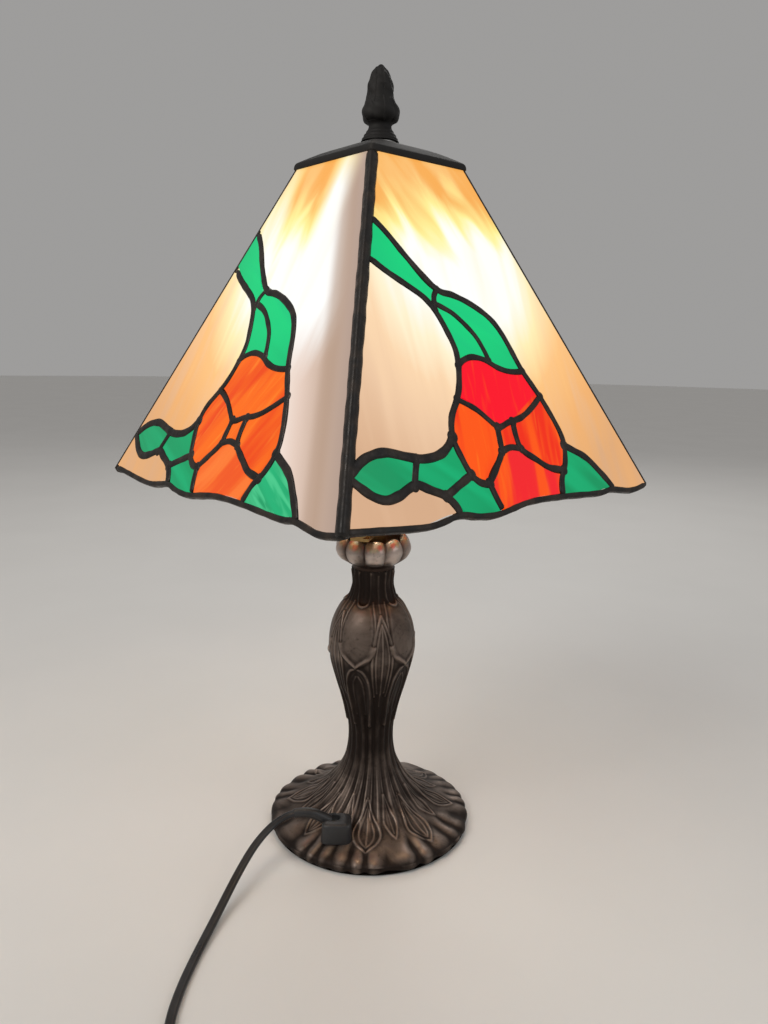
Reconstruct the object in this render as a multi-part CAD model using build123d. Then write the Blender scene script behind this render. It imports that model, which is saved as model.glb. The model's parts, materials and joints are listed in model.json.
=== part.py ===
from build123d import *
import math
import os

# A table lamp with a four-sided leaded glass shade on a cast metal base.
# Millimetres. Origin at the centre of the underside, +Z up, shade sides facing +X, +Y, -X and -Y.

STANDING = (Align.CENTER, Align.CENTER, Align.MIN)  # a primitive that stands on its own base

# ---- driving dimensions ---------------------------------------------------------------------
SHADE_HALF = 127.0  # half the side of the shade at its bottom edge, a 10 inch shade
SHADE_TOP_HALF = 37.3  # half the side where the glass meets the cap
SHADE_BOTTOM_Z = 254.1
SHADE_TOP_Z = 447.5
FOOT_RADIUS = 72.0
STEM_TOP_Z = 190.0
TIP_Z = 508.6

GLASS = 3.0  # sheet thickness
PROUD = 0.8  # how far a solder bead stands above the glass
WIDE_SEAM = 4.4  # width of the broad corner bead on each of its two panels
NARROW_SEAM = 1.0  # the same for the fine corner bead
BORDER = 3.4  # solder along the bottom edge
RIM_HEIGHT = 2.0  # solder band above the glass, under the cap

FELT = 1.2
PLATE = 2.0
ROD_RADIUS = 5.0
ROD_BORE = 3.7
ROD_HOLE = 5.2
WEB_Z = 44.0  # underside of the web inside the foot that the rod nut pulls against
WEB = 4.0

HOLDER_Z = 218.0  # underside of the lampholder
BULB_Z = 270.0  # tip of the bulb's centre contact
BULB_TOP_Z = 380.0
BULB_RADIUS = 30.0
CAP_RADIUS = 13.2  # bulb screw cap, drawn as a plain cylinder

HARP_ANGLE = -55.0  # direction of the harp's plane about Z, degrees
HARP_WIRE = 2.0  # radius
HARP_SEAT_Z = 460.0
STUD_RADIUS = 3.175
STUD_TOP_Z = 477.0
CAP_SHEET = 0.8
CAP_TOP_Z = 462.0

CORD = 5.4  # width of the flat cord
LEAD_RADIUS = 2.2  # its cores inside the lamp

os.makedirs("parts", exist_ok=True)
nodes = {}


# ---- small helpers --------------------------------------------------------------------------
def tube(outer, inner, low, high, x=0.0, y=0.0):
    """An upright ring or tube from low to high."""
    ring = Pos(x, y, low) * Cylinder(outer, high - low, align=STANDING)
    if inner:
        bore = Cylinder(inner, high - low + 2, align=STANDING)
        ring -= Pos(x, y, low - 1) * bore
    return ring


def turned(outline):
    """A solid of revolution from an outline in the XZ plane, given as edges."""
    return revolve(make_face(outline), Axis.Z)


def at_points(*points):
    """Points of an (r, z) outline in the XZ plane."""
    return [(r, 0, z) for r, z in points]


def swept(route, radius, radii):
    """A round tube along straight runs joined by tangent arcs."""
    path = FilletPolyline(*route, radius=radii)
    section = Plane(origin=path @ 0, z_dir=path % 0) * Circle(radius)
    return sweep(section, path=path), path.length


def largest(shape):
    """The biggest solid of a shape, without any offcuts."""
    return shape.solids().sort_by(SortBy.VOLUME)[-1]


def loosest(route):
    """The largest arc that each corner of a route allows."""
    points = [Vector(*p) for p in route]
    radii = []
    for before, here, after in zip(points, points[1:], points[2:]):
        turn = (here - before).get_angle(after - here)
        run = min((here - before).length, (after - here).length)
        radii.append(0.45 * run / math.tan(math.radians(turn / 2)))
    return radii


# ---- cast base ------------------------------------------------------------------------------
def cast_base():
    """Foot and stem in one hollow casting, with webs that the threaded rod pulls together."""
    rim = Spline(*at_points((70.6, FELT), (FOOT_RADIUS, 3.6), (71.2, 6.6), (68.0, 8.6)))
    foot = Spline(
        *at_points((68.0, 8.6), (60, 11), (50, 14.4), (40, 19.6), (31, 27), (24, 35.5), (19.4, 44.5)),
        *at_points((16.6, 54), (15.4, 64), (15.9, 76), (18.9, 91.4), (24.6, 110.5), (28.5, 126)),
        *at_points((29.5, 137), (27.6, 150)),
        *at_points((22.6, 161.5), (16.4, 169.5), (13.8, 179), (14.6, STEM_TOP_Z)),
    )
    closing = Polyline(*at_points((14.6, STEM_TOP_Z), (0, STEM_TOP_Z), (0, FELT), (70.6, FELT)))
    body = turned(rim + foot + closing)
    hollow = Polyline(
        *at_points((0, 0), (66.2, 0), (66.2, FELT + PLATE), (62, 5), (50, 9), (38, 14.5), (27, 23), (19, 33)),
        *at_points((15.2, WEB_Z), (0, WEB_Z)),
        close=True,
    )
    stem_hollow = Polyline(
        *at_points((0, WEB_Z + WEB), (12, WEB_Z + WEB), (11.6, 64), (12, 76), (15.4, 94)),
        *at_points((24.5, 126), (25.4, 137)),
        *at_points((23.5, 148), (12, 166), (10.2, 174), (10.2, STEM_TOP_Z - 6), (0, STEM_TOP_Z - 6)),
        close=True,
    )
    body -= turned(hollow)
    body -= turned(stem_hollow)
    body -= tube(ROD_HOLE, 0, 20, STEM_TOP_Z + 2)
    body -= tube(3.2, 0, 2, 30, *OUTLET[:2])
    return body


def lotus_collar():
    """A cup of ten rounded petals round the top of the stem."""
    cup = turned(
        Spline(
            *at_points((14.4, STEM_TOP_Z), (15.6, 193), (20.6, 195.4), (25.2, 200), (26.2, 204)),
            *at_points((24.8, 208.8), (21.4, 212)),
        )
        + Polyline(*at_points((21.4, 212), (18.0, 211), (21.0, 204), (20, 198), (15, 194.5), (0, 194.5)))
        + Polyline(*at_points((0, 194.5), (0, STEM_TOP_Z), (14.4, STEM_TOP_Z)))
    )
    petal = Pos(20.4, 0, 202) * scale(Sphere(1), by=(5.0, 6.2, 9.0))
    for i in range(10):
        cup += Rot(0, 0, 36 * i) * petal
    hollow = at_points((0, 194.5), (15, 194.5), (20, 198), (20.6, 204), (18, 214), (0, 214))
    cup -= turned(Polyline(*hollow, close=True))
    return cup - tube(ROD_HOLE, 0, 180, 200)


def threaded_rod():
    """The hollow rod that clamps base, collar, harp saddle and lampholder, threads left out."""
    return tube(ROD_RADIUS, ROD_BORE, 34, HOLDER_Z + 12)


def rod_nut():
    nut = extrude(RegularPolygon(9.0, 6), amount=6)
    return Pos(0, 0, WEB_Z - 8) * nut - tube(ROD_HOLE - 0.15, 0, 30, 50)


# ---- lampholder and bulb --------------------------------------------------------------------
def lampholder_cap():
    """The domed lower half, screwed onto the rod."""
    outer = Spline(*at_points((8, HOLDER_Z), (15, HOLDER_Z + 5), (19.4, HOLDER_Z + 14), (20, HOLDER_Z + 22)))
    top = HOLDER_Z + 22
    shell = turned(outer + Polyline(*at_points((20, top), (0, top), (0, HOLDER_Z), (8, HOLDER_Z))))
    shell -= tube(17.6, 0, HOLDER_Z + 13, HOLDER_Z + 23)
    return shell - tube(ROD_HOLE - 0.15, 0, HOLDER_Z - 1, HOLDER_Z + 20)


def lampholder_shell():
    """The upper sleeve, with the raised rings a shade ring would grip."""
    shell = tube(19.4, 16.4, HOLDER_Z + 22, HOLDER_Z + 78)
    for i in range(9):
        shell += tube(20.0, 19.0, HOLDER_Z + 34 + 4 * i, HOLDER_Z + 36 + 4 * i)
    return shell


def lampholder_insulator():
    """The porcelain block that carries the contacts."""
    block = tube(16.2, 0, HOLDER_Z + 18, HOLDER_Z + 46)
    block += tube(16.2, 14.4, HOLDER_Z + 46, HOLDER_Z + 77)
    return block - tube(2.6, 0, HOLDER_Z + 10, HOLDER_Z + 47)


def centre_contact():
    """A sprung brass tongue under the bulb."""
    tongue = extrude(SlotOverall(15, 6), amount=0.6)
    return Pos(0, 0, BULB_Z - 0.7) * tongue + Pos(5.5, 0, HOLDER_Z + 46) * Box(
        3, 4, BULB_Z - 0.6 - HOLDER_Z - 46, align=STANDING
    )


def screw_shell():
    return tube(14.3, 13.5, HOLDER_Z + 54, HOLDER_Z + 76)


def bulb_contact():
    return tube(4.6, 0, BULB_Z, BULB_Z + 2.4)


def bulb_cap():
    """The screw cap with its black insulator, threads left out."""
    cone = Pos(0, 0, BULB_Z + 2.4) * Cone(4.8, CAP_RADIUS, 4.6, align=STANDING)
    return cone + tube(CAP_RADIUS, 0, BULB_Z + 7, BULB_Z + 26)


def bulb_outline(wall):
    """Half of the pear-shaped envelope, inset by its wall."""
    middle = BULB_TOP_Z - BULB_RADIUS
    side = Spline(
        *at_points((13 - wall, BULB_Z + 26 + wall), (14.6 - wall, BULB_Z + 34), (22 - wall, BULB_Z + 54)),
        *at_points((28.6 - wall, middle - 12), (BULB_RADIUS - wall, middle)),
    )
    dome = ThreePointArc(
        (BULB_RADIUS - wall, 0, middle),
        polar_xz(BULB_RADIUS - wall, 45, middle),
        (0, 0, BULB_TOP_Z - wall),
    )
    foot = BULB_Z + 26 + wall
    return side + dome + Polyline((0, 0, BULB_TOP_Z - wall), (0, 0, foot), (13 - wall, 0, foot))


def polar_xz(radius, degrees, z):
    turn = math.radians(degrees)
    return (radius * math.cos(turn), 0, z + radius * math.sin(turn))


def bulb_glass():
    return turned(bulb_outline(0.0)) - turned(bulb_outline(0.8))


def bulb_mount():
    """The glass stem inside the bulb with its filament loop."""
    foot = BULB_Z + 26.8
    stem = Pos(0, 0, foot) * Cone(6, 2.5, 38, align=STANDING)
    eye = [(-2, 0, foot + 34), (-12, 0, foot + 50), (0, 0, foot + 60), (12, 0, foot + 50), (2, 0, foot + 34)]
    loop, _ = swept(eye, 0.6, [3.0, 6.0, 3.0])
    return stem + loop


# ---- harp -----------------------------------------------------------------------------------
def harp_saddle():
    """The flat strip clamped under the lampholder, with an upturned tab at each end."""
    strip = Pos(0, 0, HOLDER_Z - 2) * Box(72, 12, 2, align=STANDING)
    for side in (-1, 1):
        strip += Pos(35 * side, 0, HOLDER_Z - 2) * Box(2, 5, 11, align=STANDING)
    return Rot(0, 0, HARP_ANGLE) * (strip - tube(ROD_HOLE, 0, HOLDER_Z - 3, HOLDER_Z + 1))


def harp_sleeves(loop):
    """Two small sleeves that lock the harp onto the saddle's tabs."""
    pair = []
    for side in (-1, 1):
        slot = Pos(35 * side, 0, HOLDER_Z) * Box(2.1, 5.1, 19)
        sleeve = tube(4, 0, HOLDER_Z + 1, HOLDER_Z + 15, 35 * side, 0) - slot
        pair.append(Rot(0, 0, HARP_ANGLE) * sleeve - loop)
    return pair


def harp_loop():
    """The bent wire that carries the shade over the bulb."""
    half = [(35, HOLDER_Z + 10), (48, 300), (46, 392), (10, 453)]
    route = [(-x, 0, z) for x, z in half] + [(x, 0, z) for x, z in reversed(half)]
    wire, _ = swept(route, HARP_WIRE, [120, 90, 10, 10, 90, 120])
    return Rot(0, 0, HARP_ANGLE) * wire


def harp_stud(loop):
    """The brass head on the harp: a block, a seat for the shade and a threaded stud."""
    head = tube(5.6, 0, 448, HARP_SEAT_Z - 2) + tube(8, 0, HARP_SEAT_Z - 2, HARP_SEAT_Z)
    return head + tube(STUD_RADIUS, 0, HARP_SEAT_Z, STUD_TOP_Z) - loop


# ---- cap and finial -------------------------------------------------------------------------
def square(half, z):
    return Pos(0, 0, z) * RectangleRounded(2 * half, 2 * half, 2.0)


def cap_form(inset):
    """The four-sided dome of the cap, inset by its sheet."""
    low = SHADE_TOP_Z - 0.4
    steps = [(38.9, low), (38.4, low + 3.4), (27, 457.2), (11.5, CAP_TOP_Z)]
    levels = [square(half - inset, z - inset) for half, z in steps]
    skirt, roof, crown = [loft([a, b]) for a, b in zip(levels, levels[1:])]
    return skirt + roof + crown


def roof_cap():
    return cap_form(0) - cap_form(CAP_SHEET) - tube(4, 0, 455, 465)


def finial():
    """A bud-shaped knob with a blind threaded hole."""
    outline = Spline(
        *at_points((11.6, 463.2), (11.2, 465.6), (8.6, 469.6), (7.4, 472.6), (9.2, 475.4), (11.4, 480.4)),
        *at_points((9.8, 485.6), (8.0, 489.4), (7.9, 493.6), (7.4, 497.2)),
        *at_points((5.6, 501.6), (3.2, 505.8), (0, TIP_Z)),
    )
    knob = turned(outline + Polyline(*at_points((0, TIP_Z), (0, 463.2), (11.6, 463.2))))
    return knob - tube(STUD_RADIUS + 0.07, 0, 462, 479)


# ---- leaded glass ---------------------------------------------------------------------------
# One panel is drawn flat: u runs to the right seen from outside, v up the slope from the bottom.
SLANT = math.hypot(SHADE_TOP_Z - SHADE_BOTTOM_Z, SHADE_HALF - SHADE_TOP_HALF)

BOTTOM_EDGE = [
    (-130, -1), (-110, -2.5), (-72, -5.3), (-49, -2.3), (-35, -4.5), (-19, -5.2), (8, -1.4),
    (36, -1.3), (75, -3.1), (89, -2.1), (110, -4.8), (130, -2),
]

# each solder line: its width and the points that its middle runs through
SOLDER_LINES = {
    "vine outer edge": (4.4, [
        (-60, 175), (-47, 163.5), (-33, 145), (-18, 129), (-6, 126), (7, 121), (20, 112.5), (27.5, 101),
        (35, 80), (45, 61.6), (53, 41), (53.5, 31), (49.5, 20), (43, 12), (38.5, -3),
    ]),
    "vine inner edge": (4.4, [
        (-72, 154), (-57, 140), (-39, 129), (-29.5, 122.6), (-23.5, 114), (-19, 101.5), (-17, 92),
        (-18.5, 82), (-22, 71.6), (-27, 63), (-35.5, 52), (-38.5, 40.5), (-36, 29), (-32.5, 20), (-27, 15),
        (-20, 13.8),
    ]),
    "right leaf top": (5.0, [(53.6, 31), (61, 27.4), (71.6, 21.6), (80, 13), (87, 4.7), (92, -3)]),
    "leaf row top": (5.2, [
        (-38.6, 42), (-45, 36), (-53.3, 32.4), (-66, 31.6), (-79, 34.6), (-88, 36.6), (-98, 35.6),
        (-106.4, 32), (-116, 25),
    ]),
    "leaf row bottom": (5.2, [
        (-116, 27), (-108, 19.5), (-102, 15), (-95, 12.7), (-85.6, 14.3), (-79, 17), (-73, 18.4), (-66, 15.4),
        (-56, 10.8), (-50.5, 5), (-46, -4),
    ]),
    "upper leaf cut": (3.6, [(-17.8, 128.9), (-22, 124), (-24, 116)]),
    "middle leaf cut": (3.6, [(-22.8, 120), (-11, 114.6), (-3, 107.6), (3, 100.4), (6.5, 92), (8, 86)]),
    "left leaf cut": (4.2, [(-68.6, 31.8), (-71.7, 25), (-75, 17.6)]),
    "lower leaf cut": (4.8, [(-55, 10.4), (-44, 15.2), (-32.5, 20)]),
    "top petal upper": (3.8, [
        (-18.5, 82.5), (-13, 86), (-5, 87.9), (4.6, 86.2), (14, 81.4), (24.5, 78.9), (35.5, 79),
    ]),
    "top petal lower": (3.8, [
        (-27, 63), (-14.6, 56.8), (-6.5, 50), (0, 45.4), (10, 48), (21.4, 50.2), (33, 55.5), (45, 63),
    ]),
    "left petal edge": (4.4, [(-1, 45.4), (-2.3, 37.5), (-3.6, 31), (-9.5, 24.3), (-20, 14.2)]),
    "right petal edge": (4.4, [(13, 48), (12.3, 38.5), (14, 31.4), (24, 24.3), (33.5, 18.6), (46.5, 16)]),
    "centre lower": (4.0, [(-3.6, 31), (5, 33), (14, 31.4)]),
    "petal foot": (4.6, [(-20.4, 14), (-18.2, 5), (-15, -4)]),
}

# a point inside each coloured piece; every other piece is background glass
LEAF_SPOTS = [(-40, 141), (5, 112), (-10, 100), (-92, 25), (-57, 23), (-38, 9), (62, 12)]
PETAL_SPOTS = [(10, 66), (-22, 38), (32, 38), (12, 12), (5, 39)]


def half_width(v):
    return SHADE_HALF - (SHADE_HALF - SHADE_TOP_HALF) * v / SLANT


def ribbon(points, width):
    """A strip of even width whose middle follows a smooth curve."""
    middle = Spline(*points)
    count = 2 * len(points)
    left, right = [], []
    for i in range(count + 1):
        here = middle @ (i / count)
        along = middle % (i / count)
        aside = Vector(-along.Y, along.X, 0) * (width / 2)
        left.append(here + aside)
        right.append(here - aside)
    ends = Line(left[-1], right[-1]) + Line(right[0], left[0])
    return make_face(Spline(*left) + Spline(*right) + ends)


def panel_outline(left_seam, right_seam):
    """The flat shape of one side of the shade, between its two corner seams."""
    lean = (SHADE_HALF - SHADE_TOP_HALF) / SLANT
    stretch = math.hypot(1, lean)
    low, top = -20.0, SLANT
    sides = [
        (-(half_width(low) - left_seam * stretch), low),
        (half_width(low) - right_seam * stretch, low),
        (half_width(top) - right_seam * stretch, top),
        (-(half_width(top) - left_seam * stretch), top),
    ]
    blank = make_face(Polyline(*sides, close=True))
    edge = Spline(*BOTTOM_EDGE)
    above = make_face(edge + Polyline(edge @ 1, (130, 260), (-130, 260), edge @ 0))
    return blank & above, blank & (Pos(0, BORDER, 0) * above)


def panel_pieces(left_seam, right_seam):
    """The solder network and the cut glass of one panel, flat."""
    outline, inner = panel_outline(left_seam, right_seam)
    lines = None
    for width, points in SOLDER_LINES.values():
        strip = ribbon(points, width)
        lines = strip if lines is None else lines + strip
    glass = inner - lines
    solder = outline - glass
    groups = {"cream": [], "leaf": [], "petal": []}
    for face in glass.faces():
        if face.area < 1:
            continue
        kind = "cream"
        for name, spots in (("leaf", LEAF_SPOTS), ("petal", PETAL_SPOTS)):
            if any(face.is_inside(Vector(*spot, 0)) for spot in spots):
                kind = name
        groups[kind].append(face)
    return solder, groups


LEAN = math.atan2(SHADE_HALF - SHADE_TOP_HALF, SHADE_TOP_Z - SHADE_BOTTOM_Z)
PANEL_NORMAL = Vector(math.cos(LEAN), 0, math.sin(LEAN))
PANEL_PLANE = Plane(origin=(SHADE_HALF, 0, SHADE_BOTTOM_Z), x_dir=(0, 1, 0), z_dir=PANEL_NORMAL)


def quarter():
    """The quarter of space that belongs to the +X panel; its sides are the corner mitres."""
    wedge = make_face(Polyline((0, 0), (400, -400), (400, 400), close=True))
    return Pos(0, 0, 200) * extrude(wedge, amount=400)


def stood_up(face, low, high):
    """A flat face of the panel made solid between two depths and stood in place, cut at the mitres."""
    solid = extrude(Pos(0, 0, low) * face, amount=high - low)
    return (PANEL_PLANE.location * solid) & quarter()


def glass_shade():
    """The four panels. Opposite panels are alike; each corner has a broad or a fine seam."""
    sides = {"right": (0, True), "back": (90, False), "left": (180, True), "front": (270, False)}
    made = {}
    for name, (turn, broad_left) in sides.items():
        if broad_left not in made:
            seams = (WIDE_SEAM, NARROW_SEAM) if broad_left else (NARROW_SEAM, WIDE_SEAM)
            solder, groups = panel_pieces(*seams)
            standing = {kind: [stood_up(f, -GLASS, 0) for f in faces] for kind, faces in groups.items()}
            made[broad_left] = stood_up(solder, -GLASS - PROUD, PROUD), standing
        solder, standing = made[broad_left]
        nodes["solder_lines_" + name] = [Rot(0, 0, turn) * solder]
        for kind, pieces in standing.items():
            nodes[kind + "_glass_" + name] = [Rot(0, 0, turn) * piece for piece in pieces]


def corner_seam(width, proud):
    """A bead of solder along the +X -Y corner, from the bottom edge to the cap."""
    low = Vector(SHADE_HALF, -SHADE_HALF, SHADE_BOTTOM_Z)
    high = Vector(SHADE_TOP_HALF, -SHADE_TOP_HALF, SHADE_TOP_Z)
    along = (high - low).normalized()
    normals = [PANEL_NORMAL, Vector(0, -math.cos(LEAN), math.sin(LEAN))]
    inward = [along.cross(normals[0]), normals[1].cross(along)]
    ridge = (normals[0] + normals[1]).normalized()
    rise = ridge.dot(normals[0])
    start = low - along * 3.2
    mitre_depth = width * rise / math.sqrt(1 - rise**2)
    depth = min(GLASS + PROUD, mitre_depth - 0.03)
    outer = [start + inward[i] * width + normals[i] * proud for i in (0, 1)]
    inner = [start + inward[i] * width - normals[i] * depth for i in (0, 1)]
    crest = start + ridge * (proud / rise)
    if depth < GLASS:
        corners = [outer[0], crest, outer[1], inner[1]]
    else:
        corners = [outer[0], crest, outer[1], inner[1], start - ridge * (depth / rise), inner[0]]
    section = make_face(Polyline(*corners, close=True))
    bead = extrude(section, amount=(high - low).length + 10, dir=along)
    return bead - Pos(0, 0, SHADE_TOP_Z - 0.5) * Box(600, 600, 60, align=STANDING)


def top_rim():
    """The solder band that joins the four panels under the cap."""
    band = loft([rim_square(0, 0), rim_square(0, RIM_HEIGHT)])
    return band - loft([rim_square(GLASS + PROUD, -1), rim_square(GLASS + PROUD, RIM_HEIGHT + 1)])


def rim_square(depth, up):
    """A level square on the shade's slopes, at a depth below the glass's outer face."""
    half = SHADE_TOP_HALF - up * math.tan(LEAN) - depth / math.cos(LEAN)
    return Pos(0, 0, SHADE_TOP_Z + up) * Rectangle(2 * half, 2 * half)


# ---- cord and what is on it -----------------------------------------------------------------
OUTLET = (16.0, -47.6, 17.6)  # top of the lead that goes down through the foot
OUTLET_TOP = 25.4
AWAY = -40.3  # direction of the table's front, degrees about Z

# the cord from the outlet block to the in-line switch
CORD_ROUTE = [
    (15.3, -48.4, 22.2), (12.2, -53.8, 26.8), (8.0, -60.5, 30.2), (3.0, -68.8, 30.6), (0.0, -78.0, 28.2),
    (-0.2, -88.3, 24.0), (3.4, -101.2, 19.0), (10.9, -115.5, 13.4), (21.1, -131.3, 8.4), (33.1, -148.1, 4.6),
    (47.0, -165.7, 2.9), (63.3, -183.5, 2.9), (81.3, -199.4, 2.9), (100.9, -208.8, 2.9), (118.6, -208.1, 3.2),
    (133.7, -199.9, 5.4), (144.6, -188.2, 7.6),
]
SWITCH_ENTRY = CORD_ROUTE[-1]
SWITCH_LENGTH, SWITCH_WIDTH, SWITCH_HEIGHT = 60.0, 27.0, 18.0
CORD_TURN = 49.7  # direction in which the cord runs through the switch, degrees about Z

COIL_INNER, COIL_OUTER = 20.2, 43.2
COIL_LOW, COIL_HIGH = 1.0, 11.8
COIL_CENTRE = (249.2, -127.4)

# from the switch to the coil, and from the coil to the plug
TO_COIL_ROUTE = [(183.4, -142.4, 7.6), (193.7, -130.3, 6.2), (204.0, -118.0, 4.4), (218.2, -101.3, 3.7)]
TO_PLUG_ROUTE = [
    (280.1, -153.6, 9.1), (268.0, -165.7, 9.0), (253.5, -174.3, 8.2), (239.7, -183.6, 7.2),
    (229.6, -194.7, 7.0),
]
PLUG_LENGTH, PLUG_WIDTH, PLUG_HEIGHT = 36.0, 35.0, 13.8
PIN_RADIUS, PIN_LENGTH, PIN_SPACING = 2.0, 19.0, 18.6
PIN_ROOT, PIN_TIP = 1.6, 1.2


def frame_at(point, degrees):
    """A local frame on the table with its X along the cord."""
    return Pos(point[0], point[1], 0) * Rot(0, 0, degrees)


def cord_piece(name, route):
    """A stretch of free cord; prints its arcs and compares its volume with section times length."""
    radii = loosest(route)
    solid, length = swept(route, CORD / 2, radii)
    expected = math.pi * (CORD / 2) ** 2 * length
    print(name, "length", round(length, 1), "radii", [round(r, 1) for r in radii])
    print(name, "volume ratio", round(solid.volume / expected, 4))
    return solid


def outlet_block(foot):
    """The moulded block that holds the cord on the foot."""
    body = Pos(20.6, -46.2, 8) * Rot(0, 0, AWAY) * Box(17, 20, OUTLET_TOP - 8, align=STANDING)
    body = fillet(body.edges().filter_by(Axis.Z), 2.0)
    body = fillet(body.faces().sort_by(Axis.Z)[-1].edges(), 1.0)
    body -= foot
    body = largest(body) - tube(2.6, 0, 0, OUTLET[2] + 4, *OUTLET[:2])
    way = Vector(*CORD_ROUTE[1]) - Vector(*CORD_ROUTE[0])
    socket = Plane(origin=CORD_ROUTE[0], z_dir=way) * extrude(Circle(4.2), amount=20)
    return body - socket


def cord_sleeve():
    """The tapered strain relief that the cord leaves the block through."""
    way = Plane(origin=CORD_ROUTE[0], z_dir=Vector(*CORD_ROUTE[1]) - Vector(*CORD_ROUTE[0]))
    path = FilletPolyline(*CORD_ROUTE[:4], radius=loosest(CORD_ROUTE)[:2])
    end = 0.86
    sections = [way * Circle(4.1)]
    for t in (0.3, 0.6, end):
        sections.append(Plane(origin=path @ t, z_dir=path % t) * Circle(4.1 - 1.0 * t / end))
    return loft(sections)


def inner_lead():
    """The cord's cores inside the lamp, from the outlet up the rod to the lampholder."""
    x, y, top = OUTLET
    route = [(x, y, top), (x, y, 6.4), (0.3 * x, 0.3 * y, 9.5), (0, 0, 24), (0, 0, HOLDER_Z + 17.9)]
    lead, _ = swept(route, LEAD_RADIUS, [5, 12, 12])
    return lead


def cord_coil():
    return tube(COIL_OUTER, COIL_INNER, COIL_LOW, COIL_HIGH, *COIL_CENTRE)


def cable_tie():
    """A soft band round the coil's bundle."""
    width = COIL_OUTER - COIL_INNER
    middle = (COIL_OUTER + COIL_INNER) / 2
    high = COIL_HIGH + 1.0
    outer = Pos(middle - 0.3, 0, high / 2) * Box(width + 3.0, 9, high)
    hole = Box(width + 1.0, 10, COIL_HIGH - COIL_LOW + 0.04)
    hole = Pos(middle - 0.3, 0, (COIL_LOW + COIL_HIGH) / 2) * hole
    return frame_at(COIL_CENTRE, -100) * (outer - hole)


def switch_shape():
    """The outside of the in-line switch, its cord entry at X=0."""
    plan = Pos(SWITCH_LENGTH / 2, 0, 0) * SlotOverall(SWITCH_LENGTH, SWITCH_WIDTH)
    body = extrude(plan, amount=SWITCH_HEIGHT)
    ends = Pos(SWITCH_LENGTH / 2, 0, 0) * Box(
        SWITCH_LENGTH, 12, 13, align=STANDING
    )
    body += ends
    return fillet(body.faces().sort_by(Axis.Z)[-1].edges(), 2.5)


ROCKER_X = SWITCH_LENGTH / 2
ROCKER_Z = 13.0
SPLIT_Z = 9.0
ROCKER_TILT = 7.0
SCREW_X = (15.0, 45.0)
PIVOT_RADIUS, PIVOT_REACH = 1.15, 12.2  # the steel pin that the rocker turns on, and how far it runs each way


def switch_shells():
    """Lower and upper halves of the switch housing, hollow, with the rocker's window."""
    body = switch_shape()
    plan = SlotOverall(SWITCH_LENGTH - 14, SWITCH_WIDTH - 5)
    inside = Pos(ROCKER_X, 0, 0) * extrude(plan, amount=SWITCH_HEIGHT)
    inside &= Pos(ROCKER_X, 0, 2.5) * Box(60, 40, SWITCH_HEIGHT - 5, align=STANDING)
    for x in SCREW_X:
        inside -= tube(3.4, 0, 0, 20, x, 0)
    body -= inside
    body -= Pos(ROCKER_X, 0, 15) * Box(17, 11, 12)
    body -= Pos(ROCKER_X, 0, 7.6) * Rot(0, 90, 0) * Cylinder(CORD / 2 + 0.02, 80)
    body -= rocker_bar(PIVOT_RADIUS + 0.02, 2 * PIVOT_REACH)
    for x in SCREW_X:
        body -= tube(1.3, 0, 3, 20, x, 0) + tube(2.6, 0, SWITCH_HEIGHT - 1.6, 20, x, 0)
    lower = body & Box(200, 60, 2 * SPLIT_Z)
    upper = body - Box(200, 60, 2 * SPLIT_Z)
    return lower, upper


def rocker_bar(radius, length):
    """A round bar on the rocker's axis."""
    return Pos(ROCKER_X, 0, ROCKER_Z) * Rot(90, 0, 0) * Cylinder(radius, length)


def switch_rocker():
    """The rocker at rest pressed down at its far end: the lamp is on."""
    side = [(-7.6, 0, 4.6), (0, 0, 5.8), (7.6, 0, 4.6), (7.0, 0, -1), (2, 0, -4), (-2, 0, -4), (-7.0, 0, -1)]
    shape = extrude(make_face(Polyline(*side, close=True)), amount=5, both=True)
    return Pos(ROCKER_X, 0, ROCKER_Z) * Rot(0, ROCKER_TILT, 0) * shape - rocker_bar(PIVOT_RADIUS + 0.05, 20)


def switch_screws():
    screws = []
    for x in SCREW_X:
        screw = tube(1.25, 0, 3.2, SWITCH_HEIGHT - 1.6, x, 0)
        screw += tube(2.5, 0, SWITCH_HEIGHT - 1.6, SWITCH_HEIGHT - 0.2, x, 0)
        screws.append(screw - Pos(x, 0, SWITCH_HEIGHT) * Box(0.7, 4.2, 1.4))
    return screws


def plug_body():
    """A flat two-pin plug lying on its side, its cord entry at X=0."""
    outline = [(0, -6), (9, -9), (24, -17.5), (36, -17.5), (36, 17.5), (24, 17.5), (9, 9), (0, 6)]
    plan = make_face(Polyline(*outline, close=True))
    body = extrude(fillet(plan.vertices(), 2.0), amount=PLUG_HEIGHT)
    body = fillet(body.faces().sort_by(Axis.Z)[-1].edges() + body.faces().sort_by(Axis.Z)[0].edges(), 2.4)
    for side in (-1, 1):
        body -= pin_bar(side, PIN_ROOT, PLUG_LENGTH - 5, PLUG_LENGTH + 5)
    return body


def pin_bar(side, radius, low, high):
    """A round bar along the plug, on one pin's axis."""
    bar = Cylinder(radius, high - low, align=STANDING)
    return Pos(low, side * PIN_SPACING / 2, PLUG_HEIGHT / 2) * Rot(0, 90, 0) * bar


def plug_pins():
    """Two round pins, each with a thinner root inside the plug's body."""
    pins = []
    for side in (-1, 1):
        pin = pin_bar(side, PIN_RADIUS, PLUG_LENGTH, PLUG_LENGTH + PIN_LENGTH)
        pin = fillet(pin.faces().sort_by(Axis.X)[-1].edges(), PIN_TIP)
        pins.append(pin + pin_bar(side, PIN_ROOT, PLUG_LENGTH - 5, PLUG_LENGTH))
    return pins


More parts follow.
